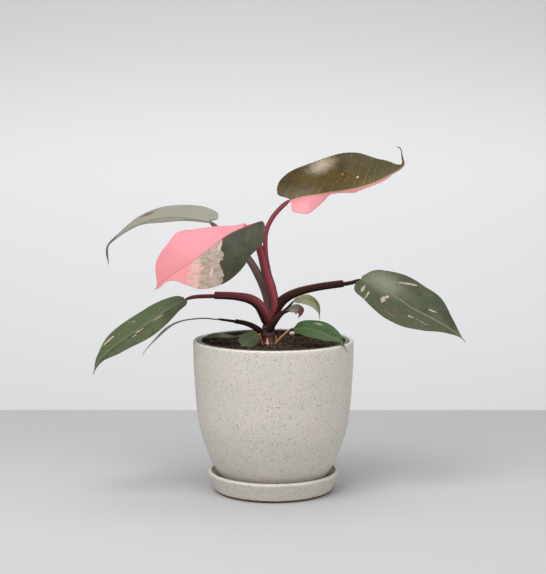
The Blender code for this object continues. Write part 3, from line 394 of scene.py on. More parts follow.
# Curves through given points.
def smoothPath(points, count):
    knots = np.array(points, float)
    knots = np.vstack([2 * knots[0] - knots[1], knots, 2 * knots[-1] - knots[-2]])
    fine = []
    for before, start, end, after in zip(knots, knots[1:], knots[2:], knots[3:]):
        for t in np.linspace(0.0, 1.0, 16, endpoint=False):
            fine.append(0.5 * (2 * start + (end - before) * t
                               + (2 * before - 5 * start + 4 * end - after) * t ** 2
                               + (3 * start - before - 3 * end + after) * t ** 3))
    fine = np.array(fine + [knots[-2]])
    steps = np.concatenate([[0.0], np.cumsum(np.linalg.norm(np.diff(fine, axis=0), axis=1))])
    wanted = np.linspace(0.0, steps[-1], count)
    return np.array([np.interp(wanted, steps, axis) for axis in fine.T]).T


def directions(path):
    along = np.gradient(path, axis=0)
    return along / np.linalg.norm(along, axis=1, keepdims=True)


def squareTo(aims, along):
    flat = aims - (aims * along).sum(axis=1, keepdims=True) * along
    return flat / np.linalg.norm(flat, axis=1, keepdims=True)


def arc(centre, radius, start, end, count):
    turns = np.radians(np.linspace(start, end, count))
    return [(centre[0] + radius * math.cos(a), centre[1] + radius * math.sin(a)) for a in turns]


# Stoneware: a pale matt glaze with iron specks, bare clay at the foot.
stoneware = {"glaze": (194, 190, 180), "warm": (198, 190, 182), "cool": (191, 188, 178),
             "clay": (104, 70, 52), "clayTop": 0.0019, "roughness": 0.42}
specks = {                                # colour, strength, and the values of the flecks group
    "dust": ((92, 84, 74), 0.38, {"Scale": 1500.0, "Size": 0.30, "Share": 0.60, "Shift": 0.71}),
    "small": ((92, 84, 74), 0.50, {"Scale": 850.0, "Size": 0.30, "Share": 0.95}),
    "large": ((60, 50, 42), 0.92, {"Scale": 470.0, "Size": 0.19, "Share": 0.62, "Shift": 0.37}),
}


def stonewareMaterial():
    made, tree, shader = newMaterial("stoneware", stoneware["roughness"])
    clouds = maskOf(tree, "mottle", Scale=28.0, Low=0.3, High=0.7)
    fine = maskOf(tree, "mottle", Scale=900.0, Detail=2.0, Low=0.35, High=0.7)
    colour = blend(tree, clouds, paint(*stoneware["warm"]), paint(*stoneware["cool"]))
    colour = blend(tree, times(tree, fine, 0.35), colour, paint(*stoneware["glaze"]))
    masks = {}
    for kind, (shade, strength, values) in specks.items():
        masks[kind] = maskOf(tree, "flecks", **values)
        colour = blend(tree, times(tree, masks[kind], strength), colour, paint(*shade))
    height = split(tree, objectPlace(tree))[2]
    wobble = maskOf(tree, "mottle", Scale=160.0, Low=0.3, High=0.7)
    edge = plus(tree, stoneware["clayTop"], times(tree, wobble, 0.0003))
    bare = stepUp(tree, height, plus(tree, edge, 0.0002), edge)
    feed(tree, shader.inputs["Base Color"], blend(tree, bare, colour, paint(*stoneware["clay"])))
    rough = plus(tree, stoneware["roughness"], times(tree, clouds, 0.12))
    feed(tree, shader.inputs["Roughness"], plus(tree, rough, times(tree, bare, 0.3)))
    pits = minus(tree, times(tree, fine, 0.25), plus(tree, masks["small"], masks["large"]))
    addBump(tree, shader, pits, 0.00006, 0.6)
    return made


saucerSizes = {"rimRadius": 0.0574, "height": 0.0177, "baseRadius": 0.0515, "wall": 0.0037, "floor": 0.0060,
               "footStep": 0.0012, "flare": ((0.0548, 0.0088), (0.0534, 0.0046)), "sides": 160}
potSizes = {"radius": 0.0700, "rimHeight": 0.1329, "wall": 0.0036, "floor": 0.0062, "baseRadius": 0.0400,
            "drainRadius": 0.0060, "sides": 192, "straightTo": 0.1290, "heelRadius": 0.0462,
            "belly": ((0.0694, 0.1040), (0.0665, 0.0664), (0.0617, 0.0449), (0.0540, 0.0252))}
linerSizes = {"radius": 0.0662, "top": 0.1327, "lipWidth": 0.0031, "lipDepth": 0.0058, "wall": 0.0010,
              "baseRadius": 0.0395, "bulge": 0.0080, "sides": 144}
linerFoot = saucerSizes["floor"] + 2 * gap + potSizes["floor"]
stonewareLook = stonewareMaterial()


def makeSaucer():
    s = saucerSizes
    lip, base, step, floor = s["wall"] / 2, s["baseRadius"], s["footStep"], s["floor"]
    inner = base - s["wall"] - 0.0015
    rim = arc((s["rimRadius"] - lip, s["height"] - lip), lip, 180, -20, 19)
    wall = smoothPath((rim[-1], *s["flare"]), 9)[1:]
    foot = [(base + 0.0014, step + 0.0016), (base + 0.0006, step + 0.0003), (base, step),
            (base - 0.0002, 0.0006), (base - 0.0010, 0.0)]
    inside = smoothPath(((inner - 0.0060, floor), (inner - 0.0020, floor + 0.0002), (inner, floor + 0.0010),
                         (inner + 0.0020, floor + 0.0040), rim[0]), 16)[:-1]
    profile = [(0.0, floor), *inside, *rim, *wall, *foot, (0.0, 0.0)]
    finish(turnedPiece("saucerGlazed", profile, s["sides"], stonewareLook), ["saucer"])


def makePot():
    s = potSizes
    base = saucerSizes["floor"] + gap
    floor, lip = base + s["floor"], s["wall"] / 2
    outer = smoothPath(((s["radius"], s["straightTo"]), *s["belly"], (s["heelRadius"], base + 0.0060),
                        (s["baseRadius"] + 0.0012, base + 0.0010)), 44)
    rim = arc((s["radius"] - lip, s["rimHeight"] - lip), lip, 180, 12, 17)
    inner = [(radius - s["wall"], z) for radius, z in outer[2:] if z > floor + 0.0080]
    reach = inner[-1][0]
    corner = smoothPath((inner[-1], (reach - 0.0022, floor + 0.0022), (reach - 0.0065, floor)), 8)[1:]
    edge = [(s["baseRadius"] + 0.0004, base + 0.0003), (s["baseRadius"], base)]
    drain = [(s["drainRadius"], base), (s["drainRadius"], floor)]
    ring = [*rim, *outer, *edge, *drain, *corner[::-1], *inner[::-1]]
    piece = turnedPiece("potGlazed", ring + [ring[0]], s["sides"], stonewareLook)
    finish(piece, ["ceramic_pot"])


makeSaucer()
makePot()
print("stoneware done")


# Nursery pot: thin dark plastic, with a grey lip that is a painted highlight.
plastic = {"body": (28, 29, 31), "lip": (84, 82, 80), "dust": (96, 90, 82), "roughness": 0.38}


def plasticMaterial():
    made, tree, shader = newMaterial("nurseryPlastic", plastic["roughness"])
    height = split(tree, objectPlace(tree))[2]
    # The top of the rim is painted grey: a painted highlight along the lip.
    lipHighlight = stepUp(tree, height, linerSizes["top"] - 0.0022, linerSizes["top"] - 0.0004)
    colour = blend(tree, lipHighlight, paint(*plastic["body"]), paint(*plastic["lip"]))
    scuffs = maskOf(tree, "mottle", Scale=170.0, Detail=6.0, Low=0.52, High=0.74)
    colour = blend(tree, times(tree, scuffs, 0.35), colour, paint(*plastic["dust"]))
    feed(tree, shader.inputs["Base Color"], colour)
    feed(tree, shader.inputs["Roughness"], plus(tree, plastic["roughness"], times(tree, scuffs, 0.3)))
    grain = maskOf(tree, "mottle", Scale=2200.0, Detail=1.0, Low=0.3, High=0.7)
    addBump(tree, shader, grain, 0.00003, 0.5)
    return made


def linerInside(z):                       # inner radius of the nursery pot at a height
    s = linerSizes
    bodyTop = s["radius"] - s["lipWidth"] + s["wall"]
    share = (z - linerFoot) / (s["top"] - s["lipDepth"] - linerFoot)
    bulge = s["bulge"] * math.sin(math.pi * min(max(share, 0.0), 1.0)) ** 0.8
    return s["baseRadius"] + (bodyTop - s["baseRadius"]) * share + bulge - s["wall"]


def makeLiner():
    s = linerSizes
    top, edge, floor = s["top"], s["radius"], linerFoot + s["wall"]
    underLip = top - s["lipDepth"]
    heights = np.linspace(linerFoot + 0.0040, underLip, 24)
    bodyTop = edge - s["lipWidth"]
    lip = [(bodyTop, top - 0.0004), (bodyTop + 0.0004, top), (edge - 0.0006, top),
           (edge - 0.0002, top - 0.0002), (edge, top - 0.0008), (edge, underLip)]
    outer = [(linerInside(z) + s["wall"], z) for z in heights[::-1]]
    inner = [(linerInside(z), z) for z in heights]
    above = [(0.0, floor), (s["baseRadius"] - 0.0025, floor)]
    under = [(s["baseRadius"] - 0.0015, linerFoot), (0.0, linerFoot)]
    piece = turnedPiece("nurseryPotShell", above + inner + lip + outer + under, s["sides"], plasticMaterial())
    finish(piece, ["nursery_pot"])


makeLiner()
print("nursery pot done")


# Potting mix: a crumbly top with bark, fibres, a little perlite and pale litter round the stem.
soilColours = {"dark": (33, 25, 19), "damp": (20, 15, 12), "crumb": (80, 60, 44), "fibre": (146, 110, 78),
               "perlite": (222, 214, 204), "palePerlite": (240, 236, 228), "litter": (196, 160, 132),
               "paleLitter": (226, 200, 180)}
soilSizes = {"top": 0.1272, "relief": 0.0011, "rings": 60, "sides": 180, "stemFoot": (-0.0043, 0.0),
             "clearOfStem": 0.0062, "clearOfWall": 0.0012, "litterReach": 0.017}
strewn = {
    "soilCrumbs": {"material": "soilCrumb", "colours": ("dark", "crumb"), "Per Square Metre": 290000.0,
                   "Smallest": 0.0004, "Largest": 0.0013, "Flatness": 0.75, "Jagged": 0.0005, "Seed": 4},
    "soilLumps": {"material": "soilLump", "colours": ("damp", "crumb"), "Per Square Metre": 42000.0,
                  "Smallest": 0.0012, "Largest": 0.0024, "Flatness": 0.6, "Jagged": 0.0011, "Seed": 9},
    "soilFibres": {"material": "barkFibre", "colours": ("crumb", "fibre"), "Per Square Metre": 21000.0,
                   "Smallest": 0.0002, "Largest": 0.0004, "Length": 9.0, "Flatness": 0.8, "Jagged": 0.0004,
                   "Seed": 15},
    "perliteGrains": {"material": "perlite", "colours": ("perlite", "palePerlite"), "roughness": 0.8,
                      "Per Square Metre": 3200.0, "Smallest": 0.0004, "Largest": 0.0009, "Flatness": 0.8,
                      "Jagged": 0.0003, "Seed": 22},
    "stemLitter": {"material": "litter", "colours": ("litter", "paleLitter"), "roughness": 0.8,
                   "Per Square Metre": 330000.0, "Smallest": 0.0002, "Largest": 0.0006, "Length": 4.0,
                   "Flatness": 0.6, "Jagged": 0.0005, "Seed": 31},
}


def soilMaterial(name, first, second, roughness=0.95):
    made, tree, shader = newMaterial(name, roughness, specular=0.3)
    clouds = maskOf(tree, "mottle", Scale=340.0, Detail=5.0, Low=0.35, High=0.68)
    feed(tree, shader.inputs["Base Color"], blend(tree, clouds, paint(*first), paint(*second)))
    grit = maskOf(tree, "mottle", Scale=1500.0, Detail=4.0, Low=0.2, High=0.8)
    addBump(tree, shader, grit, 0.0004, 0.8)
    return made


def soilHeight(x, y):                     # broad waves and clods on a low mound
    reach = math.hypot(x, y) / 0.060
    broad = math.sin(95 * x + 1.3) * math.cos(80 * y - 0.4)
    clods = math.sin(310 * x + 140 * y) * math.sin(260 * y - 190 * x + 0.8)
    mound = 0.0012 * (1 - reach ** 2)
    return (0.55 * broad + 0.45 * clods) * soilSizes["relief"] * (1 - 0.6 * reach) + mound


def soilGrit(x, y):
    return 0.0005 * (math.sin(900 * x + 3 * math.sin(700 * y)) * math.sin(820 * y + 2 * math.sin(640 * x)))


def soilTop(bm, radius):                  # rings of corners from the middle to the wall
    s = soilSizes
    rings = []
    for k in range(s["rings"] + 1):
        ring = []
        for n in range(s["sides"] if k else 1):
            turn = 2 * math.pi * n / s["sides"]
            x, y = radius * k / s["rings"] * math.cos(turn), radius * k / s["rings"] * math.sin(turn)
            ring.append(bm.verts.new((x, y, s["top"] + soilHeight(x, y) + soilGrit(x, y))))
        rings.append(ring)
    for inner, outer in zip(rings, rings[1:]):
        for n in range(s["sides"]):
            m = (n + 1) % s["sides"]
            corners = [inner[n % len(inner)], outer[n], outer[m], inner[m % len(inner)]]
            bm.faces.new(list(dict.fromkeys(corners)))
    return rings[-1]


def soilSides(bm, low, radius):           # closes the body down along the nursery pot's wall
    depth = linerFoot + gap + linerSizes["wall"]
    for z in (0.10, 0.06, depth + 0.005, depth):
        share = (linerInside(max(z, depth + 0.004)) - gap) / radius
        ring = [bm.verts.new((v.co.x * share, v.co.y * share, z)) for v in low]
        for n in range(len(low)):
            m = (n + 1) % len(low)
            bm.faces.new((low[m], low[n], ring[n], ring[m]))
        low = ring
    bm.faces.new(low)


def makeSoil():
    s = soilSizes
    radius = linerInside(s["top"]) - gap
    bm = bmesh.new()
    edge = soilTop(bm, radius)
    surface = bpy.data.meshes.new("soilSurface")
    bm.to_mesh(surface)
    soilSides(bm, edge, radius)
    mesh = bpy.data.meshes.new("soilBody")
    bm.to_mesh(mesh)
    bm.free()
    mesh.materials.append(soilMaterial("soilDark", soilColours["dark"], soilColours["damp"]))
    finish(newObject("soilBody", mesh), ["soil"])

    stemX, stemY = s["stemFoot"]
    fromStem = [math.hypot(v.co.x - stemX, v.co.y - stemY) for v in surface.vertices]
    fromWall = [radius - math.hypot(v.co.x, v.co.y) for v in surface.vertices]
    everywhere = [float(stem > s["clearOfStem"] and wall > s["clearOfWall"])
                  for stem, wall in zip(fromStem, fromWall)]
    byStem = [max(0.0, 1.0 - stem / s["litterReach"]) * share for stem, share in zip(fromStem, everywhere)]
    surface.attributes.new("room", "FLOAT", "POINT")
    for name, values in strewn.items():
        copy = surface.copy()
        copy.attributes["room"].data.foreach_set("value", byStem if name == "stemLitter" else everywhere)
        first, second = (soilColours[key] for key in values["colours"])
        material = soilMaterial(values["material"], first, second, values.get("roughness", 0.95))
        finish(grow(name, copy, strewTree, {**values, "Material": material}))
    bpy.data.meshes.remove(surface)


makeSoil()
print("soil done")


# Stem and stalks: satin plant skin with streaks along it. Upright stalks turn their low side to the front.
# A span says where a zone starts and where it is full: top, low and edge go by the place round the stalk,
# tip and foot by the share of its length.
skinDefaults = {"roughness": 0.38, "coat": 0.03, "specular": 0.25, "topSpan": (0.1, 0.8),
                "lowSpan": (-0.2, -0.8), "edgeSpan": (0.66, 0.92)}
stalkLooks = {
    "crimson": {"main": (128, 42, 54), "streak": (100, 30, 40), "top": (100, 34, 42), "low": (138, 54, 66),
                "edge": (66, 26, 28), "dot": (178, 104, 106)},
    "brownStrap": {"main": (122, 92, 90), "streak": (88, 58, 58), "top": (60, 40, 38), "low": (116, 92, 90),
                   "edge": (50, 32, 30), "dot": (128, 96, 90)},
    # shaded: its dark low colour is painted shade along the stalk's lower side.
    "shaded": {"main": (110, 40, 46), "streak": (84, 30, 36), "top": (128, 54, 60), "low": (40, 22, 24),
               "lowSpan": (-0.10, -0.50), "dot": (170, 92, 96)},
    "darkSkin": {"main": (54, 32, 29), "streak": (38, 24, 23), "top": (98, 50, 48), "topSpan": (0.72, 0.98),
                 "low": (32, 20, 20), "dot": (100, 68, 62), "roughness": 0.5, "coat": 0.0, "specular": 0.06},
    "greenSkin": {"main": (104, 92, 58), "streak": (118, 76, 60), "top": (126, 108, 72), "low": (86, 52, 44),
                  "dot": (150, 130, 100)},
    "tan": {"main": (150, 108, 80), "streak": (124, 80, 62), "top": (178, 140, 108), "low": (104, 66, 52),
            "tip": (58, 36, 30), "tipSpan": (0.80, 0.90), "dot": (190, 160, 128)},
    "blush": {"main": (168, 88, 78), "streak": (142, 64, 60), "top": (176, 108, 92), "low": (178, 96, 86),
              "dot": (200, 140, 122)},
    "dryPaper": {"main": (214, 168, 150), "streak": (186, 128, 110), "top": (196, 150, 130),
                 "low": (222, 180, 164), "dot": (150, 104, 84), "roughness": 0.7, "coat": 0.0},
    "dryTwig": {"main": (118, 62, 42), "streak": (82, 42, 30), "top": (96, 52, 38), "low": (132, 74, 52),
                "dot": (170, 118, 84), "roughness": 0.75, "coat": 0.0},
}


def skinMaterial(name, look):
    look = {**skinDefaults, **look}
    made, tree, shader = newMaterial(name, look["roughness"], look["coat"], specular=look["specular"])
    place = addNode(tree, "ShaderNodeAttribute", attribute_name="ringPlace").outputs["Vector"]
    side, top, share = split(tree, place)
    streaks = noiseAt(tree, vectors(tree, "MULTIPLY", place, (3.0, 3.0, 1.4)), 3.0, 5.0)
    colour = blend(tree, stepUp(tree, streaks, 0.35, 0.68), paint(*look["main"]), paint(*look["streak"]))
    readings = {"top": top, "low": top, "edge": maths(tree, "ABSOLUTE", side), "tip": share, "foot": share}
    for zone, reading in readings.items():
        if zone in look:
            colour = blend(tree, stepUp(tree, reading, *look[zone + "Span"]), colour, paint(*look[zone]))
    dots = maskOf(tree, "flecks", Scale=1300.0, Size=0.3, Share=0.25)
    colour = blend(tree, times(tree, dots, 0.35), colour, paint(*look["dot"]))
    feed(tree, shader.inputs["Base Color"], colour)
    feed(tree, shader.inputs["Roughness"], plus(tree, look["roughness"], times(tree, streaks, 0.15)))
    addBump(tree, shader, plus(tree, streaks, times(tree, dots, 0.3)), 0.00025, 0.7)
    return made


skins = {name: skinMaterial(name, look) for name, look in stalkLooks.items()}


stalks = {
    "top": {"points": ((-0.0010, 0.0020, 0.1560), (-0.0010, 0.0044, 0.1700), (-0.0034, 0.0056, 0.1880),
                       (-0.0066, 0.0060, 0.2060), (-0.0066, 0.0060, 0.2250), (-0.0012, 0.0058, 0.2382),
                       (0.0066, 0.0050, 0.2476), (0.0130, 0.0042, 0.2532)),
            "across": (1.0, 0.2, 0.0), "widths": (0.0024, 0.0021, 0.0021, 0.0020),
            "depths": (0.0020, 0.0019, 0.0018), "skin": "crimson", "slot": "petiole"},
    "pink": {"points": ((-0.0012, -0.0012, 0.1520), (0.0012, -0.0042, 0.1640), (-0.0010, -0.0046, 0.1760),
                        (-0.0062, -0.0042, 0.1915), (-0.0100, -0.0036, 0.2060), (-0.0140, -0.0048, 0.2180),
                        (-0.0186, -0.0092, 0.2264), (-0.0233, -0.0160, 0.2321)),
             "across": (1.0, 0.0, 0.1), "widths": (0.0030, 0.0034, 0.0041, 0.0040, 0.0034, 0.0026, 0.0020),
             "depths": (0.0016, 0.0016, 0.0015, 0.0016), "curls": (0.0022, 0.0020, 0.0012, 0.0),
             "skin": "crimson", "slot": "petiole"},
    "back_left": {"points": ((-0.0026, 0.0015, 0.1500), (-0.0046, 0.0068, 0.1620), (-0.0078, 0.0112, 0.1745),
                             (-0.0145, 0.0160, 0.1895), (-0.0240, 0.0200, 0.2040), (-0.0365, 0.0242, 0.2165),
                             (-0.0480, 0.0266, 0.2268), (-0.0560, 0.0278, 0.2336)),
                  "across": (1.0, -0.25, 0.0), "widths": (0.0034, 0.0036, 0.0037, 0.0030, 0.0022, 0.0019),
                  "depths": (0.0022, 0.0019, 0.0018), "curls": (0.0008, 0.0), "skin": "brownStrap",
                  "slot": "petiole_dark"},
    "lower_left": {"points": ((-0.0050, -0.0010, 0.1450), (-0.0090, -0.0052, 0.1560),
                              (-0.0130, -0.0070, 0.1632), (-0.0200, -0.0080, 0.1682),
                              (-0.0300, -0.0086, 0.1706), (-0.0420, -0.0092, 0.1716),
                              (-0.0560, -0.0096, 0.1718), (-0.0680, -0.0098, 0.1712),
                              (-0.0752, -0.0099, 0.1694)),
                   "across": (0.0, -1.0, 0.0),
                   "widths": (0.0032, 0.0032, 0.0026, 0.0020, 0.0018, 0.0017, 0.0015),
                   "depths": (0.0032, 0.0034, 0.0028, 0.0020, 0.0018, 0.0018, 0.0015),
                   "sheath": (0.70, 0.0008, 0.0014), "skin": "shaded", "slot": "petiole"},
    "right": {"points": ((0.0002, 0.0006, 0.1520), (0.0048, 0.0000, 0.1625), (0.0115, -0.0004, 0.1692),
                         (0.0230, 0.0000, 0.1745), (0.0400, 0.0010, 0.1783), (0.0570, 0.0020, 0.1806),
                         (0.0680, 0.0026, 0.1822), (0.0745, 0.0023, 0.1847)),
              "across": (0.0, 1.0, 0.0), "widths": (0.0030, 0.0028, 0.0024, 0.0020, 0.0019, 0.0018, 0.0017),
              "depths": (0.0030, 0.0032, 0.0024, 0.0021, 0.0020, 0.0019, 0.0016),
              "sheath": (0.82, 0.0008, 0.0010), "skin": "darkSkin", "slot": "petiole_dark"},
    "edge_on": {"points": ((-0.0056, 0.0015, 0.1300), (-0.0090, 0.0040, 0.1365), (-0.0160, 0.0058, 0.1420),
                           (-0.0240, 0.0070, 0.1455), (-0.0350, 0.0080, 0.1476), (-0.0478, 0.0080, 0.1494)),
                "across": (0.0, -1.0, 0.0), "widths": (0.0026, 0.0022, 0.0016, 0.0013, 0.0011),
                "depths": (0.0026, 0.0021, 0.0015, 0.0012, 0.0010),
                "sheath": (0.69, 0.0004, 0.0006), "skin": "darkSkin", "slot": "petiole_dark"},
    "small_curved": {"points": ((-0.0044, -0.0030, 0.1400), (-0.0010, -0.0056, 0.1465),
                                (0.0036, -0.0056, 0.1525), (0.0080, -0.0030, 0.1570),
                                (0.0122, 0.0010, 0.1604), (0.0168, 0.0050, 0.1648)),
                     "across": (0.0, 1.0, 0.0), "widths": (0.0034, 0.0031, 0.0020, 0.0010, 0.0009),
                     "depths": (0.0032, 0.0028, 0.0018, 0.0010, 0.0009),
                     "sheath": (0.58, 0.0003, 0.0004), "skin": "darkSkin", "slot": "petiole_dark"},
    "small_back": {"points": ((-0.0030, 0.0020, 0.1430), (0.0030, 0.0060, 0.1495), (0.0085, 0.0105, 0.1540),
                              (0.0128, 0.0136, 0.1558)),
                   "across": (0.0, 1.0, 0.0), "widths": (0.0016, 0.0014, 0.0010),
                   "depths": (0.0015, 0.0013, 0.0009),
                   "skin": "darkSkin", "slot": "petiole_dark"},
    "small_green": {"points": ((0.0002, -0.0046, 0.1230), (0.0026, -0.0050, 0.1300),
                               (0.0074, -0.0070, 0.1358), (0.0126, -0.0090, 0.1410),
                               (0.0164, -0.0099, 0.1431)),
                    "across": (0.0, 1.0, 0.0), "widths": (0.0014, 0.0014, 0.0012),
                    "depths": (0.0014, 0.0013, 0.0011),
                    "skin": "tan", "slot": "petiole_green"},
    "small_front": {"points": ((-0.0085, -0.0066, 0.1230), (-0.0100, -0.0072, 0.1300),
                               (-0.0117, -0.0080, 0.1376)),
                    "across": (1.0, 0.0, 0.0), "widths": (0.0009, 0.0008), "depths": (0.0009, 0.0008),
                    "skin": "blush", "slot": "petiole"},
    "small_left": {"points": ((-0.0112, 0.0060, 0.1230), (-0.0132, 0.0054, 0.1296), (-0.0200, 0.0038, 0.1338),
                              (-0.0270, 0.0018, 0.1352), (-0.0322, 0.0002, 0.1350)),
                   "across": (0.0, -1.0, 0.0), "widths": (0.0010, 0.0009), "depths": (0.0010, 0.0009),
                   "skin": "greenSkin", "slot": "petiole_green"},
}


def sweptTube(name, path, aim, widths, depths, material, curls=(0.0, 0.0), sides=28, rounded=5,
              sheath=(0.0, 0.0, 0.0)):
    end, more, upper = sheath             # thicker up to a share of the path, most of all on top
    share = np.linspace(0.0, 1.0, len(path))
    if end:
        wanted = np.sort(np.append(share, (end - 0.008, end - 0.004, end + 0.004)))
        path = np.array([np.interp(wanted, share, axis) for axis in path.T]).T
        share = wanted
    inside = np.where(share < end, 1.0, 0.0)
    swollen = (inside * more * np.where(share < end - 0.006, 1.0, 0.8))[:, None]
    share = share[:, None]
    rise = inside[:, None] * upper * np.clip((end - share) / 0.02 + 0.6, 0.0, 1.0)
    along = directions(path)
    side = squareTo(np.tile(np.array(aim, float), (len(path), 1)), along)
    channel = np.cross(along, side)
    width, depth, curl = (np.interp(share, np.linspace(0, 1, len(row)), row)
                          for row in (widths, depths, curls))
    width, depth = width + swollen, depth + swollen + rise / 2
    steps = np.arange(len(path))[:, None]
    closing = np.clip(np.minimum(steps, steps[::-1]) / rounded, 0.0, 1.0)
    closing = np.sqrt(1 - (1 - closing) ** 2)          # both ends run round to a point
    return sweep(name, path + channel * rise / 2, side * width * closing, channel * depth * closing,
                 channel * curl * closing, sides, material)


intoBlade = 0.0018                        # how far a stalk reaches into its blade


def makeStalk(name):
    s = stalks[name]
    points = list(s["points"])
    ahead = np.array(points[-1]) - np.array(points[-2])             # on into the blade's foot
    points.append(tuple(np.array(points[-1]) + intoBlade * ahead / np.linalg.norm(ahead)))
    piece = sweptTube("stalk_" + name, smoothPath(points, 64), s["across"], s["widths"], s["depths"],
                      skins[s["skin"]], s.get("curls", (0.0, 0.0)), sheath=s.get("sheath", (0.0, 0.0, 0.0)))
    finish(piece, ["petiole_" + name])


stemLook = {"main": (76, 48, 44), "streak": (50, 33, 32), "top": (60, 40, 38), "low": (74, 48, 45),
            "dot": (140, 100, 88), "foot": (124, 86, 76), "footSpan": (0.52, 0.36)}
stemSizes = {"points": ((-0.0043, 0.0, 0.1122), (-0.0043, 0.0, 0.1300), (-0.0045, 0.0004, 0.1400),
                        (-0.0035, 0.0004, 0.1500), (-0.0015, 0.0006, 0.1590)),
             "widths": (0.0042, 0.0042, 0.0043, 0.0046, 0.0052, 0.0053, 0.0050, 0.0044, 0.0034),
             "nodes": (0.36, 0.52, 0.66, 0.80), "nodeHeight": 0.0005}


def makeStem():
    s = stemSizes
    path = smoothPath(s["points"], 90)
    share = np.linspace(0, 1, 90)
    widths = np.interp(share, np.linspace(0, 1, len(s["widths"])), s["widths"])
    for at in s["nodes"]:                 # rings where old leaves were
        widths = widths + s["nodeHeight"] * np.exp(-((share - at) / 0.018) ** 2)
    piece = sweptTube("stemSkin", path, (1, 0, 0), widths, widths, skinMaterial("stem", stemLook), sides=40)
    finish(piece, ["main_stem"])


makeStem()
for name in stalks:
    makeStalk(name)
print("stem and stalks done")


# Dried bits of old sheaths round the stem's foot, and a grain of perlite.
dryBits = {
    "dry_sheath": {"points": ((-0.0053, -0.0074, 0.1232), (-0.0054, -0.0074, 0.1285),
                              (-0.0052, -0.0076, 0.1350)),
                   "widths": (0.0017, 0.0016, 0.0003), "depths": (0.0006, 0.0004), "curls": (-0.0005, 0.0),
                   "skin": "dryPaper"},
    "dry_stick": {"points": ((0.0024, 0.0040, 0.1232), (0.0026, 0.0042, 0.1290), (0.0022, 0.0046, 0.1354)),
                  "widths": (0.0008, 0.0006), "depths": (0.0006, 0.0005), "skin": "dryPaper"},
    "dry_twig": {"points": ((0.0066, 0.0064, 0.1232), (0.0058, 0.0066, 0.1300), (0.0052, 0.0066, 0.1356),
                            (0.0062, 0.0066, 0.1416)),
                 "widths": (0.0007, 0.0016, 0.0003), "depths": (0.0006, 0.0008, 0.0003), "skin": "dryTwig"},
}
pebble = {"place": (0.0170, 0.0530), "size": (0.0027, 0.0023, 0.0019), "main": (206, 184, 164),
          "second": (232, 218, 202)}


def makeDryBits():
    for name, bit in dryBits.items():
        piece = sweptTube("bit_" + name, smoothPath(bit["points"], 40), (1, 0, 0), bit["widths"],
                          bit["depths"], skins[bit["skin"]], bit.get("curls", (0.0, 0.0)), 20, 3)
        finish(piece, [name])


def makePebble():
    body = bmesh.new()
    bmesh.ops.create_icosphere(body, subdivisions=5, radius=1.0)
    centre = (*pebble["place"], soilSizes["top"] + soilSizes["relief"] + pebble["size"][2])
    for vert in body.verts:
        x, y, z = vert.co
        lump = 0.07 * math.sin(3.1 * x + 2.0) * math.cos(2.7 * y - z)
        lump = 1.0 + lump + 0.03 * math.sin(9 * x + 7 * z) * math.sin(8 * y)
        vert.co = [c + size * axis * lump for c, size, axis in zip(centre, pebble["size"], (x, y, z))]
    mesh = bpy.data.meshes.new("perlitePebble")
    body.to_mesh(mesh)
    body.free()
    mesh.materials.append(soilMaterial("pebbleSkin", pebble["main"], pebble["second"], 0.85))
    finish(newObject("perlitePebble", mesh), ["perlite_pebble"])


makeDryBits()
makePebble()
print("small bits done")


# Leaf blades. Left and right are seen from above, with the tip ahead.
def half(width, lobe, full, fold, curl, dip=0.0, wave=(0.0, 1.5, 0.0), waist=0.30, lobeAt=0.30, late=0.78):
    return {"width": width, "lobe": lobe, "full": full, "fold": fold, "curl": curl, "dip": dip,
            "wave": wave, "waist": waist, "lobeAt": lobeAt, "late": late}


def alike(part):                          # both halves the same
    return {"left": part, "right": part}


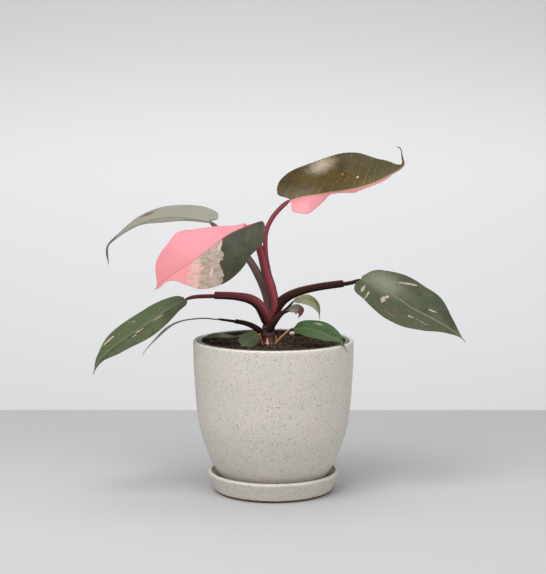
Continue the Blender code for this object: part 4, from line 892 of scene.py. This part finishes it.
blades = {
    "top": {"rib": ((0.0142, 0.0040, 0.2540), (0.0260, 0.0015, 0.2575), (0.0460, -0.0010, 0.2605),
                    (0.0680, -0.0015, 0.2640), (0.0860, 0.0005, 0.2690), (0.1010, 0.0040, 0.2760),
                    (0.1122, 0.0070, 0.2832), (0.1118, 0.0080, 0.2910), (0.1100, 0.0072, 0.2985),
                    (0.1060, 0.0060, 0.3008)),
            "faces": ((-0.15, -0.20, 0.95), (-0.70, -0.20, 0.70)),
            "left": half(0.0318, 0.08, 0.90, (54, 58, 48, 54, 60), (30, 30, 10), wave=(0.001, 1.5, 0.5),
                         waist=0.46, late=0.90),
            "right": half(0.034, -0.01, 0.80, (8, 2, 17, 6, 12, 16, 17, 17), (-14, -2, 0), dip=-0.020,
                          wave=(0.003, 1.7, 0.55)),
            "widest": 0.40, "tail": 0.15, "neck": 0.0022},
    "pink": {"rib": ((-0.0244, -0.0182, 0.2328), (-0.0390, -0.0245, 0.2262), (-0.0540, -0.0320, 0.2150),
                     (-0.0700, -0.0395, 0.2030), (-0.0860, -0.0455, 0.1930), (-0.0997, -0.0500, 0.1816)),
             "faces": ((0.10, -0.75, 0.55), (0.30, -0.80, 0.50)),
             "left": half(0.0325, 0.17, 0.86, (8, 4, 10), (-20, -10, 0), wave=(0.002, 1.2, 0.1),
                          waist=0.12, lobeAt=0.10),
             "right": half(0.034, 0.06, 0.50, (-44, -4, 10), (-30, -16, -6), wave=(0.002, 1.2, 0.3),
                           waist=0.50),
             "widest": 0.38, "tail": 0.05, "neck": 0.0022},
    "back_left": {"rib": ((-0.0570, 0.0281, 0.2342), (-0.0720, 0.0315, 0.2370), (-0.0900, 0.0350, 0.2378),
                          (-0.1090, 0.0392, 0.2355), (-0.1280, 0.0430, 0.2275), (-0.1430, 0.0455, 0.2175),
                          (-0.1500, 0.0462, 0.2090), (-0.1489, 0.0450, 0.1940)),
                  "faces": ((0.05, 0.02, 1.0), (-0.54, -0.18, 0.76)),
                  "left": half(0.026, 0.06, 0.60, (0, 4, 0), (-8, -6, 0), wave=(0.001, 1.5, 0.3)),
                  "right": half(0.028, 0.05, 0.90, (27, 12, 6), (0, 0, 0), wave=(0.001, 1.5, 0.3)),
                  "widest": 0.36, "tail": 0.16, "tailWidth": 0.14, "neck": 0.0021},
    "lower_left": {"rib": ((-0.0764, -0.0100, 0.1688), (-0.0900, -0.0150, 0.1620), (-0.1040, -0.0212, 0.1530),
                           (-0.1190, -0.0272, 0.1432), (-0.1350, -0.0332, 0.1322), (-0.1475, -0.0372, 0.1210),
                           (-0.1531, -0.0400, 0.1080)),
                   "faces": ((0.05, -0.27, 0.95), (-0.30, -0.40, 0.86)),
                   "left": half(0.022, 0.02, 0.40, (10, 6, 4), (-10, -8, 0), wave=(0.0008, 1.5, 0.2)),
                   "right": half(0.0200, 0.02, 0.40, (10, 8, 4), (-6, -6, 0), wave=(0.0008, 1.5, 0.2)),
                   "widest": 0.44, "tail": 0.06, "neck": 0.0019},
    "right": {"rib": ((0.0764, 0.0020, 0.1861), (0.0878, -0.0010, 0.1822), (0.0989, -0.0040, 0.1757),
                      (0.1099, -0.0070, 0.1685), (0.1193, -0.0100, 0.1621), (0.1317, -0.0130, 0.1558),
                      (0.1463, -0.0160, 0.1479), (0.1595, -0.0180, 0.1392), (0.1654, -0.0190, 0.1330)),
              "faces": ((0.10, -0.72, 0.60), (0.25, -0.75, 0.60)),
              "left": half(0.0262, 0.01, 0.20, (4, 6, 6), (-14, -8, 0), wave=(0.0008, 1.5, 0.1), late=0.92,
                           waist=0.40),
              "right": half(0.0248, 0.03, 0.85, (4, 6, 6), (-14, -8, 0), wave=(0.0008, 1.5, 0.1), late=0.74),
              "widest": 0.36, "tail": 0.07, "neck": 0.0021},
    "edge_on": {"rib": ((-0.0489, 0.0080, 0.1496), (-0.0601, 0.0080, 0.1507), (-0.0716, 0.0080, 0.1499),
                        (-0.0830, 0.0080, 0.1473), (-0.0933, 0.0080, 0.1415), (-0.1028, 0.0080, 0.1327),
                        (-0.1105, 0.0080, 0.1247), (-0.1154, 0.0080, 0.1180)),
                "faces": ((0.0, 0.13, 1.0), (-0.7, 0.10, 0.7)),
                "left": half(0.015, 0.03, 0.6, (0, 3, 3), (-3, -3, 0)),
                "right": half(0.015, 0.03, 0.6, (0, 0, 0), (2, 2, 0)),
                "widest": 0.36, "tail": 0.08, "neck": 0.0014},
    "small_green": {"rib": ((0.0174, -0.0103, 0.1436), (0.0270, -0.0150, 0.1448), (0.0380, -0.0225, 0.1434),
                            (0.0480, -0.0300, 0.1398), (0.0566, -0.0366, 0.1364), (0.0625, -0.0412, 0.1282)),
                    "faces": ((0.0, -0.62, 0.78), (0.35, -0.60, 0.70)),
                    "left": half(0.013, 0.0, 0.5, (6, 6, 6), (-14, -8, 0)),
                    "right": half(0.011, 0.0, 0.5, (6, 6, 6), (-8, -6, 0)),
                    "widest": 0.40, "tail": 0.10, "neck": 0.0014},
    "small_curved": {"rib": ((0.0178, 0.0056, 0.1656), (0.0245, 0.0066, 0.1672), (0.0320, 0.0080, 0.1662),
                             (0.0376, 0.0092, 0.1615), (0.0403, 0.0100, 0.1550), (0.0409, 0.0104, 0.1478)),
                     "faces": ((0.0, -0.45, 0.90), (0.90, -0.40, 0.10)),
                     **alike(half(0.0070, 0.0, 0.4, (8, 8, 8), (-20, -20, 0))),
                     "widest": 0.40, "tail": 0.12, "neck": 0.0012},
    "small_back": {"rib": ((0.0132, 0.0139, 0.1560), (0.0180, 0.0168, 0.1573), (0.0232, 0.0166, 0.1562),
                           (0.0236, 0.0142, 0.1528), (0.0216, 0.0136, 0.1494)),
                   "faces": ((0.0, -0.40, 0.92), (0.10, -0.95, 0.10)),
                   **alike(half(0.0056, 0.0, 0.4, (4, 4, 4), (-6, -6, 0), late=0.42, waist=0.16)),
                   "widest": 0.44, "tail": 0.04, "neck": 0.0012},
    "small_front": {"rib": ((-0.0123, -0.0084, 0.1386), (-0.0165, -0.0118, 0.1372),
                            (-0.0210, -0.0165, 0.1350), (-0.0248, -0.0212, 0.1322),
                            (-0.0272, -0.0244, 0.1300)),
                    "faces": ((0.10, -0.75, 0.62), (0.10, -0.75, 0.62)),
                    **alike(half(0.0080, 0.0, 0.2, (6, 6, 6), (-10, -10, 0))),
                    "widest": 0.55, "tail": 0.02, "neck": 0.0010},
    "small_left": {"rib": ((-0.0332, 0.0000, 0.1350), (-0.0400, -0.0012, 0.1362), (-0.0470, -0.0022, 0.1372),
                           (-0.0540, -0.0032, 0.1362), (-0.0596, -0.0040, 0.1340)),
                   "faces": ((0.0, -0.12, 1.0), (-0.3, -0.12, 0.95)),
                   **alike(half(0.0085, 0.0, 0.2, (4, 4, 4), (-14, -14, 0))),
                   "widest": 0.50, "tail": 0.03, "neck": 0.0011},
}
bladeDetail = {"rows": 96, "columns": 22, "thickness": 0.00045, "keel": 0.0009, "groove": 0.00022,
               "veinDepth": 0.00010, "veinStep": 0.0078, "ribWidth": 0.0009, "smallWidth": 0.016}


def halfOutline(blade, part, count):      # margin in fractions of the length and half width
    lobe, full, tail, widest = part["lobe"], part["full"], blade["tail"], blade["widest"]
    body, lean = 1.0 - tail, 1.0 - full
    shape = ((0.0, blade["neck"] / part["width"]), (0.03 * lean - lobe, part["lobeAt"] * full + 0.16 * lean),
             (0.03 + 0.09 * lean - 0.45 * lobe, 0.72 * full + 0.52 * lean), (widest * body, 1.0),
             ((widest + 0.30) * body, part["late"]), ((0.45 * widest + 0.70) * body, part["waist"]),
             (body, blade.get("tailWidth", 0.05 if tail > 0.03 else 0.12)), (1.0, 0.0))
    return smoothPath(shape, count)


def bladeHalf(blade, side, rows, columns):
    part = blade["left"] if side < 0 else blade["right"]
    width = part["width"]
    rib = smoothPath(blade["rib"], 120)
    length = np.linalg.norm(np.diff(rib, axis=0), axis=1).sum()
    along = directions(rib)
    share = np.linspace(0.0, 1.0, len(rib))
    first, last = np.array(blade["faces"][0]), np.array(blade["faces"][1])
    up = squareTo(first * (1 - share[:, None]) + last * share[:, None], along)
    out = np.cross(along, up)
    swell, cycles, phase = part["wave"]
    step = np.linspace(0.0, 1.0, rows + 1)
    margin = halfOutline(blade, part, 12 * rows + 1)[np.round(step * 12 * rows).astype(int)]
    column = np.linspace(0.0, 1.0, columns + 1)[None, :] ** 1.15
    root = step[:, None] ** 1.5
    s = root + (margin[:, :1] - root) * column ** 1.25
    w = margin[:, 1:] * column
    fold, curl = (np.interp(s, np.linspace(0.0, 1.0, len(part[key])), part[key]) for key in ("fold", "curl"))
    bends = np.radians(fold[..., None] + curl[..., None] * w[..., None] * np.linspace(0.0, 1.0, 9))
    lateral = width * w * np.cos(bends).mean(axis=-1)
    lift = width * w * np.sin(bends).mean(axis=-1)
    lift += swell * w * w * np.sin(2 * math.pi * (cycles * s + phase))
    lift += part["dip"] * w ** 1.5 * (1 - np.clip((s + 0.1) / 0.45, 0, 1)) ** 1.5

    def read(rows3):
        inside = np.clip(s, 0.0, 1.0)
        return np.stack([np.interp(inside, share, axis) for axis in rows3.T], axis=-1)

    behind = along[0] * np.minimum(s, 0.0)[..., None] * length
    place = read(rib) + behind + side * read(out) * lateral[..., None] + read(up) * lift[..., None]
    return place, s, w * side, length


def bladeNet(blade, rows, columns):       # the upper side's points, their places, its faces and its rim
    points, places, faces, rim, slots = [], [], [], [], {}
    for side in (-1, 1):
        put, s, across, length = bladeHalf(blade, side, rows, columns)
        index = np.zeros((rows + 1, columns + 1), int)
        for r in range(rows + 1):
            for c in range(columns + 1):
                key = ("tip", 0) if r == rows else (r, side * c)
                if key not in slots:
                    slots[key] = len(points)
                    points.append(put[r, c])
                    places.append((s[r, c], across[r, c], r / rows))
                index[r, c] = slots[key]
        for r in range(rows):
            for c in range(columns):
                ring = (index[r, c], index[r, c + 1], index[r + 1, c + 1], index[r + 1, c])
                ring = tuple(dict.fromkeys(int(k) for k in ring))
                faces.append(ring if side > 0 else ring[::-1])
        edge = [int(k) for k in index[0]] + [int(index[r, -1]) for r in range(1, rows + 1)]
        rim += zip(edge, edge[1:]) if side > 0 else zip(edge[1:], edge)
    return np.array(points), np.array(places), faces, rim, length


def netNormals(points, faces):
    normals = np.zeros_like(points)
    for ring in faces:
        for a, b, c in ((ring[0], ring[1], ring[2]), (ring[0], ring[2], ring[-1])):
            if c != b:
                normals[[a, b, c]] += np.cross(points[b] - points[a], points[c] - points[a])
    return normals / np.linalg.norm(normals, axis=1, keepdims=True)


def bladeRelief(blade, places, length):   # how far the upper side is pressed in, and the lower side away
    d = bladeDetail
    along, reach, fade = places[:, 0], np.abs(places[:, 1]), 1.0 - places[:, 2]
    width = max(blade["left"]["width"], blade["right"]["width"])
    scale = min(1.0, blade["neck"] / 0.0020)
    rib = np.exp(-(reach * width / d["ribWidth"]) ** 2) * np.clip(fade * 1.6, 0, 1)
    phase = (along - 0.25 * reach ** 1.25) * length / d["veinStep"]
    valleys = np.exp(-((phase - np.round(phase)) / 0.22) ** 2)
    bays = valleys * np.clip(reach * 6, 0, 1) * np.clip((1.0 - reach) * 3, 0, 1) * np.clip(fade * 3, 0, 1)
    thin = d["thickness"] * (1.0 - 0.45 * np.clip((reach - 0.75) * 4, 0, 1))
    pressed = d["groove"] * scale * rib + d["veinDepth"] * scale * bays
    return pressed[:, None], (thin + (d["keel"] * rib + d["veinDepth"] * bays) * scale)[:, None]


def makeBlade(name, material):
    blade, d = blades[name], bladeDetail
    few = 2 if blade["left"]["width"] < d["smallWidth"] else 1
    points, places, faces, rim, length = bladeNet(blade, d["rows"] // few, d["columns"] // few)
    normals = netNormals(points, faces)
    if np.dot(normals[0], blade["faces"][0]) < 0:
        normals, faces = -normals, [ring[::-1] for ring in faces]
        rim = [(b, a) for a, b in rim]
    pressed, hung = bladeRelief(blade, places, length)
    count = len(points)
    rings = faces + [tuple(count + k for k in ring[::-1]) for ring in faces]
    rings += [(b, a, count + a, count + b) for a, b in rim]
    mesh = bpy.data.meshes.new("blade_" + name)
    both = np.vstack([points - normals * pressed, points - normals * hung])
    mesh.from_pydata([tuple(p) for p in both], [], rings)
    marks = np.zeros((2 * count, 3), np.float32)       # along, across, and 1 on the lower side
    marks[:, :2] = np.vstack([places[:, :2]] * 2)
    marks[count:, 2] = 1.0
    mesh.attributes.new("bladePlace", "FLOAT_VECTOR", "POINT").data.foreach_set("vector", marks.ravel())
    mesh.materials.append(material)
    finish(newObject("blade_" + name, mesh), ["leaf_" + name], sharp=50)


# Marks are (colour, along, across, length, breadth, lean, ragged), and some add how soft their edge is.
# Along and across are shares of the blade. Borders are (side, colour, start, slope, ragged, soft), and some
# add a second colour that streaks the first: the colour begins there, towards the tip.
cream, blush, stone, dullRed = (216, 204, 180), (226, 190, 178), (184, 172, 150), (118, 84, 70)
leafDefaults = {"roughness": 0.36, "coat": 0.1, "gain": 0.6, "ribShow": 0.75, "veinShow": 0.25,
                "sparkle": 0.0, "sparkleColour": cream, "borders": (), "marks": ()}
leafLooks = {
    "top": {"left": (100, 84, 36), "right": (246, 156, 164), "deep": (78, 64, 30), "vein": (118, 106, 58),
            "midrib": (150, 142, 76), "margin": (92, 54, 50), "under": (110, 60, 60), "roughness": 0.26,
            "gain": 0.62, "veinShow": 0.12, "sparkle": 0.34, "sparkleColour": (206, 186, 150),
            "borders": (("left", (86, 80, 44), 0.55, -0.1, 0.25, 0.18),
                        ("right", (176, 96, 84), 0.86, 0.0, 0.1, 0.05)),
            "marks": (((204, 120, 60), 0.39, -0.45, 0.012, 0.022, 0.0, 0.2),
                      (cream, 0.50, -0.30, 0.010, 0.03, 0.4, 0.4),
                      # The last mark, pale and soft-edged, is a painted highlight: the lamp's gloss on the
                      # upper left shoulder.
                      ((216, 206, 176), 0.25, -0.80, 0.15, 0.34, -0.9, 0.20, 1.0)),
            "slot": "leaf_olive_pink"},
    "pink": {"left": (68, 66, 42), "right": (246, 152, 160), "deep": (52, 56, 38), "vein": (104, 108, 82),
             "midrib": (222, 120, 138), "margin": (150, 52, 66), "under": (196, 110, 116), "roughness": 0.46,
             "coat": 0.03, "ribShow": 0.35, "veinShow": 0.08, "sparkle": 0.05,
             "borders": (("left", (194, 174, 158), 0.25, 0.28, 0.24, 0.006, (170, 153, 134)),
                         ("left", (240, 186, 178), 0.50, 0.26, 0.18, 0.02, (210, 176, 162)),
                         ("left", (246, 152, 160), 0.60, 0.30, 0.12, 0.04)),
             "marks": ((blush, 0.52, -0.53, 0.045, 0.05, -2.2, 0.7),
                       (blush, 0.31, -0.14, 0.05, 0.05, -1.6, 0.6),
                       ((236, 176, 172), 0.56, -0.30, 0.03, 0.05, 0.0, 0.8)),
             "slot": "leaf_pink_green"},
    "back_left": {"left": (112, 110, 94), "right": (128, 126, 110), "deep": (88, 84, 70),
                  "vein": (130, 128, 112), "midrib": (140, 136, 118), "margin": (98, 80, 68),
                  "under": (126, 122, 106), "roughness": 0.34, "coat": 0.03, "gain": 0.85, "sparkle": 0.04,
                  "borders": (("left", (104, 86, 72), 0.86, -0.46, 0.08, 0.05),
                              ("both", (80, 48, 38), 0.76, 0.0, 0.06, 0.03)),
                  "marks": (((96, 66, 54), 0.50, 0.62, 0.06, 0.12, 0.0, 0.6),), "slot": "leaf_grey_green"},
    "lower_left": {"left": (84, 94, 56), "right": (80, 92, 56), "deep": (62, 74, 44), "vein": (120, 124, 84),
                   "midrib": (128, 134, 96), "margin": (148, 66, 72), "under": (118, 88, 84), "coat": 0.08,
                   "gain": 0.66, "veinShow": 0.15, "sparkle": 0.10,
                   "borders": (("both", (110, 60, 50), 0.955, 0.0, 0.03, 0.02),),
                   "marks": ((blush, 0.28, -0.16, 0.055, 0.035, 0.2, 0.5),
                             (blush, 0.47, -0.18, 0.045, 0.035, 0.3, 0.5),
                             (blush, 0.70, 0.54, 0.065, 0.045, -0.4, 0.5),
                             (cream, 0.52, -0.30, 0.02, 0.03, 0.5, 0.8),
                             (blush, 0.44, 0.62, 0.02, 0.03, 0.4, 0.8)), "slot": "leaf_green"},
    "right": {"left": (80, 86, 60), "right": (74, 80, 54), "deep": (60, 68, 46), "vein": (100, 106, 78),
              "midrib": (122, 126, 98), "margin": (112, 60, 58), "under": (112, 88, 80), "roughness": 0.42,
              "coat": 0.08, "gain": 0.76, "veinShow": 0.20, "sparkle": 0.10, "sparkleColour": stone,
              "borders": (("both", (104, 62, 52), 0.965, 0.0, 0.02, 0.02),),
              "marks": ((stone, 0.050, 0.41, 0.013, 0.17, 0.0, 0.5),
                        (stone, 0.115, 0.575, 0.011, 0.18, 0.0, 0.5),
                        (stone, 0.105, 0.80, 0.008, 0.06, 0.0, 0.9),
                        (stone, 0.255, 0.40, 0.020, 0.18, 0.3, 0.7),
                        (blush, 0.27, 0.22, 0.012, 0.06, 0.3, 0.8),
                        (stone, 0.325, -0.67, 0.080, 0.050, -2.67, 0.5),
                        (stone, 0.645, -0.26, 0.048, 0.030, -0.45, 0.5),
                        (dullRed, 0.37, 0.76, 0.045, 0.05, 0.0, 1.6),
                        # The broad soft pale patch is a painted highlight: sheen on the upper left of the
                        # blade.
                        ((138, 140, 116), 0.17, -0.24, 0.30, 0.70, 0.0, 0.10, 1.0),
                        (stone, 0.50, 0.39, 0.018, 0.03, 0.0, 2.2),
                        (stone, 0.59, 0.37, 0.03, 0.02, 0.0, 2.2)),
              "slot": "leaf_dark_green"},
    "edge_on": {"left": (92, 100, 60), "right": (92, 100, 60), "deep": (70, 80, 48), "vein": (130, 134, 92),
                "midrib": (140, 142, 100), "margin": (120, 92, 72), "under": (130, 134, 96),
                "slot": "leaf_green"},
    "small_green": {"left": (66, 94, 42), "right": (60, 88, 42), "deep": (44, 74, 32), "vein": (100, 122, 68),
                    "midrib": (122, 140, 84), "margin": (130, 112, 72), "under": (112, 120, 80),
                    "roughness": 0.34, "coat": 0.03, "gain": 0.64,
                    "borders": (("both", (128, 74, 56), 0.90, 0.0, 0.04, 0.04),),
                    # The soft pale mark is a painted highlight near the top of the blade.
                    "marks": (((150, 146, 110), 0.34, -0.62, 0.09, 0.16, -0.5, 0.7, 0.9),),
                    "slot": "leaf_bright_green"},
    "small_curved": {"left": (132, 132, 84), "right": (140, 140, 108), "deep": (96, 100, 66),
                     "vein": (160, 160, 122), "midrib": (168, 166, 120), "margin": (126, 84, 62),
                     "under": (150, 146, 104), "gain": 1.0,
                     "borders": (("both", (112, 54, 42), 0.80, 0.0, 0.06, 0.05),), "slot": "leaf_grey_green"},
    "small_back": {"left": (120, 120, 98), "right": (128, 130, 110), "deep": (96, 98, 80),
                   "vein": (150, 150, 128), "midrib": (150, 148, 124), "margin": (112, 80, 66),
                   "under": (132, 128, 106), "roughness": 0.4, "coat": 0.0, "gain": 0.9, "veinShow": 0.2,
                   "borders": (("both", (118, 66, 56), 0.52, 0.0, 0.05, 0.04),), "slot": "leaf_grey_green"},
    "small_front": {"left": (92, 102, 66), "right": (86, 98, 62), "deep": (70, 80, 52),
                    "vein": (124, 130, 94), "midrib": (130, 134, 96), "margin": (120, 92, 72),
                    "under": (120, 120, 84), "veinShow": 0.35, "slot": "leaf_green"},
    "small_left": {"left": (100, 108, 56), "right": (74, 84, 44), "deep": (62, 72, 38),
                   "vein": (124, 128, 82), "midrib": (130, 132, 86), "margin": (136, 124, 78),
                   "under": (100, 104, 64), "roughness": 0.5, "coat": 0.0, "veinShow": 0.3,
                   "slot": "leaf_green"},
}


def leafMaterial(name, look):
    made, tree, shader = newMaterial("leaf_" + name, look["roughness"], look["coat"], specular=0.22)
    place = useGroup(tree, groups["place"])
    along, across, reach, under = (place[key] for key in ("Along", "Across", "Reach", "Under"))
    veins = useGroup(tree, groups["veins"], Along=along, Reach=reach, Count=13.0, Sweep=0.24)
    rightHalf = stepUp(tree, across, -0.012, 0.012)
    leftHalf = minus(tree, 1.0, rightHalf)
    halves = {"left": leftHalf, "right": rightHalf, "both": 1.0}
    marked = leftHalf if name in ("top", "pink") else 1.0      # their pink halves have no veins or flecks
    clouds = maskOf(tree, "mottle", Scale=75.0, Detail=4.0, Low=0.38, High=0.66)
    leftColour = blend(tree, clouds, paint(*look["left"]), paint(*look["deep"]))
    warm = maskOf(tree, "mottle", Scale=55.0, Detail=3.0, Low=0.35, High=0.75)
    rightColour = blend(tree, warm, paint(*look["right"]), paint(*(part + 4 for part in look["right"])))
    colour = blend(tree, rightHalf, leftColour, rightColour)
    streaky = maskOf(tree, "mottle", Scale=210.0, Detail=6.0, Low=0.42, High=0.60, Stretch=(1.0, 1.0, 1.8))
    for side, shade, start, slope, ragged, soft, *second in look["borders"]:
        mask = maskOf(tree, "border", Along=along, Reach=reach, Start=start, Slope=slope, Ragged=ragged,
                      Soft=soft)
        shade = blend(tree, streaky, paint(*shade), paint(*second[0])) if second else paint(*shade)
        colour = blend(tree, times(tree, mask, halves[side]), colour, shade)
    for shade, atAlong, atAcross, length, breadth, lean, ragged, *soft in look["marks"]:
        mask = maskOf(tree, "splash", Along=along, Across=across, AtAlong=atAlong, AtAcross=atAcross,
                      Length=length, Breadth=breadth, Lean=lean, Ragged=ragged,
                      Soft=soft[0] if soft else 0.18)
        colour = blend(tree, mask, colour, paint(*shade))
    if look["sparkle"]:                   # tiny pale flecks
        dots = times(tree, maskOf(tree, "flecks", Scale=520.0, Size=0.19, Share=look["sparkle"]), marked)
        colour = blend(tree, times(tree, dots, 0.7), colour, paint(*look["sparkleColour"]))
    lines = times(tree, times(tree, veins["Lines"], look["veinShow"]), marked)
    colour = blend(tree, lines, colour, paint(*look["vein"]))
    colour = blend(tree, times(tree, veins["Midrib"], look["ribShow"]), colour, paint(*look["midrib"]))
    rim = maskOf(tree, "mottle", Scale=30.0, Low=0.3, High=0.6)
    edge = times(tree, stepUp(tree, reach, 0.975, 0.995), plus(tree, 0.45, times(tree, rim, 0.4)))
    colour = blend(tree, edge, colour, paint(*look["margin"]))
    colour = blend(tree, times(tree, under, 0.75), colour, paint(*look["under"]))
    gain = (look["gain"],) * 3 + (1.0,)   # one dimmer for all the colours of a leaf
    feed(tree, shader.inputs["Base Color"], blend(tree, 1.0, colour, gain, "MULTIPLY"))
    feed(tree, shader.inputs["Roughness"], plus(tree, look["roughness"], times(tree, clouds, 0.10)))
    fine = maskOf(tree, "mottle", Scale=620.0, Detail=3.0, Low=0.2, High=0.8)
    height = minus(tree, times(tree, fine, 0.22), times(tree, veins["Lines"], 0.5))
    addBump(tree, shader, height, 0.0003, 0.5)
    return made


for name, look in leafLooks.items():
    makeBlade(name, leafMaterial(name, {**leafDefaults, **look}))
    print("blade", name)


# Stage: a pale table with its back edge in view, a pale wall behind it, and soft studio light.
# The table darkens towards its back and the wall towards its top: both are painted shade.
stage = {"tableBack": 0.349, "tableFront": -1.05, "tableHalf": 1.6, "table": (172, 172, 172),
         "tableShade": (160, 160, 161), "wallAt": 1.25, "wallHalf": 2.4, "wallFoot": -0.8, "wallTop": 1.6,
         "wallMid": (216, 216, 217), "wallEdge": (180, 180, 180),
         "tableShadeFrom": -0.15, "wallEdgeSpan": (0.22, 0.62)}


def flatSheet(name, corners, material):
    mesh = bpy.data.meshes.new(name)
    mesh.from_pydata(corners, [], [(0, 1, 2, 3)])
    mesh.materials.append(material)
    newObject(name, mesh)


def stageMaterial(name, first, second, axis, low, high):       # one colour turns into another along an axis
    made, tree, shader = newMaterial(name, 0.85, specular=0.2)
    mask = stepUp(tree, split(tree, objectPlace(tree))[axis], low, high)
    feed(tree, shader.inputs["Base Color"], blend(tree, mask, paint(*first), paint(*second)))
    return made


def makeStage():
    s = stage
    half, front, back = s["tableHalf"], s["tableFront"], s["tableBack"]
    look = stageMaterial("tableTop", s["table"], s["tableShade"], 1, s["tableShadeFrom"], back)
    flatSheet("table", [(-half, front, 0), (half, front, 0), (half, back, 0), (-half, back, 0)], look)
    half, at, low, high = s["wallHalf"], s["wallAt"], s["wallFoot"], s["wallTop"]
    look = stageMaterial("wall", s["wallMid"], s["wallEdge"], 2, *s["wallEdgeSpan"])
    flatSheet("backWall", [(-half, at, low), (half, at, low), (half, at, high), (-half, at, high)], look)


lamps = {
    "keyLamp": {"place": (-0.85, -1.05, 1.45), "aim": (0.0, 0.0, 0.14), "size": 1.2, "watts": 19.5},
    "fillLamp": {"place": (1.2, -1.3, 0.8), "aim": (0.0, 0.0, 0.14), "size": 1.5, "watts": 10.0},
    "topLamp": {"place": (-0.15, -0.45, 1.45), "aim": (0.0, 0.0, 0.20), "size": 0.6, "watts": 8.0},
    "wallLamp": {"place": (0.0, 0.55, 1.5), "aim": (0.0, 1.25, 0.25), "size": 1.2, "watts": 8.0},
}
studio = {"air": (0.93, 0.94, 0.95, 1.0), "strength": 0.70}
view = {"place": (-0.0004, -1.1727, 0.3051), "tilt": 83.85, "lens": 85.0, "sensor": 36.0}


def addLamp(name, lamp):
    light = bpy.data.lights.new(name, "AREA")
    light.size, light.energy = lamp["size"], lamp["watts"]
    holder = newObject(name, light)
    holder.location = lamp["place"]
    look = np.array(lamp["aim"]) - np.array(lamp["place"])
    turn = math.atan2(look[1], look[0]) - math.pi / 2
    holder.rotation_euler = (math.atan2(math.hypot(look[0], look[1]), -look[2]), 0.0, turn)


def addAir():
    world = bpy.data.worlds.new("studio")
    world.use_nodes = True
    air = world.node_tree.nodes["Background"].inputs
    air["Color"].default_value, air["Strength"].default_value = studio["air"], studio["strength"]
    scene.world = world
    scene.view_settings.view_transform = "Standard"


def addCamera():
    data = bpy.data.cameras.new("camera")
    data.lens, data.sensor_width, data.sensor_height = view["lens"], view["sensor"], view["sensor"]
    data.sensor_fit = "VERTICAL"
    camera = newObject("camera", data)
    camera.location = view["place"]
    camera.rotation_euler = (math.radians(view["tilt"]), 0.0, 0.0)
    scene.camera = camera


makeStage()
for name, lamp in lamps.items():
    addLamp(name, lamp)
addAir()
addCamera()

bpy.context.view_layer.update()
print("scene built")
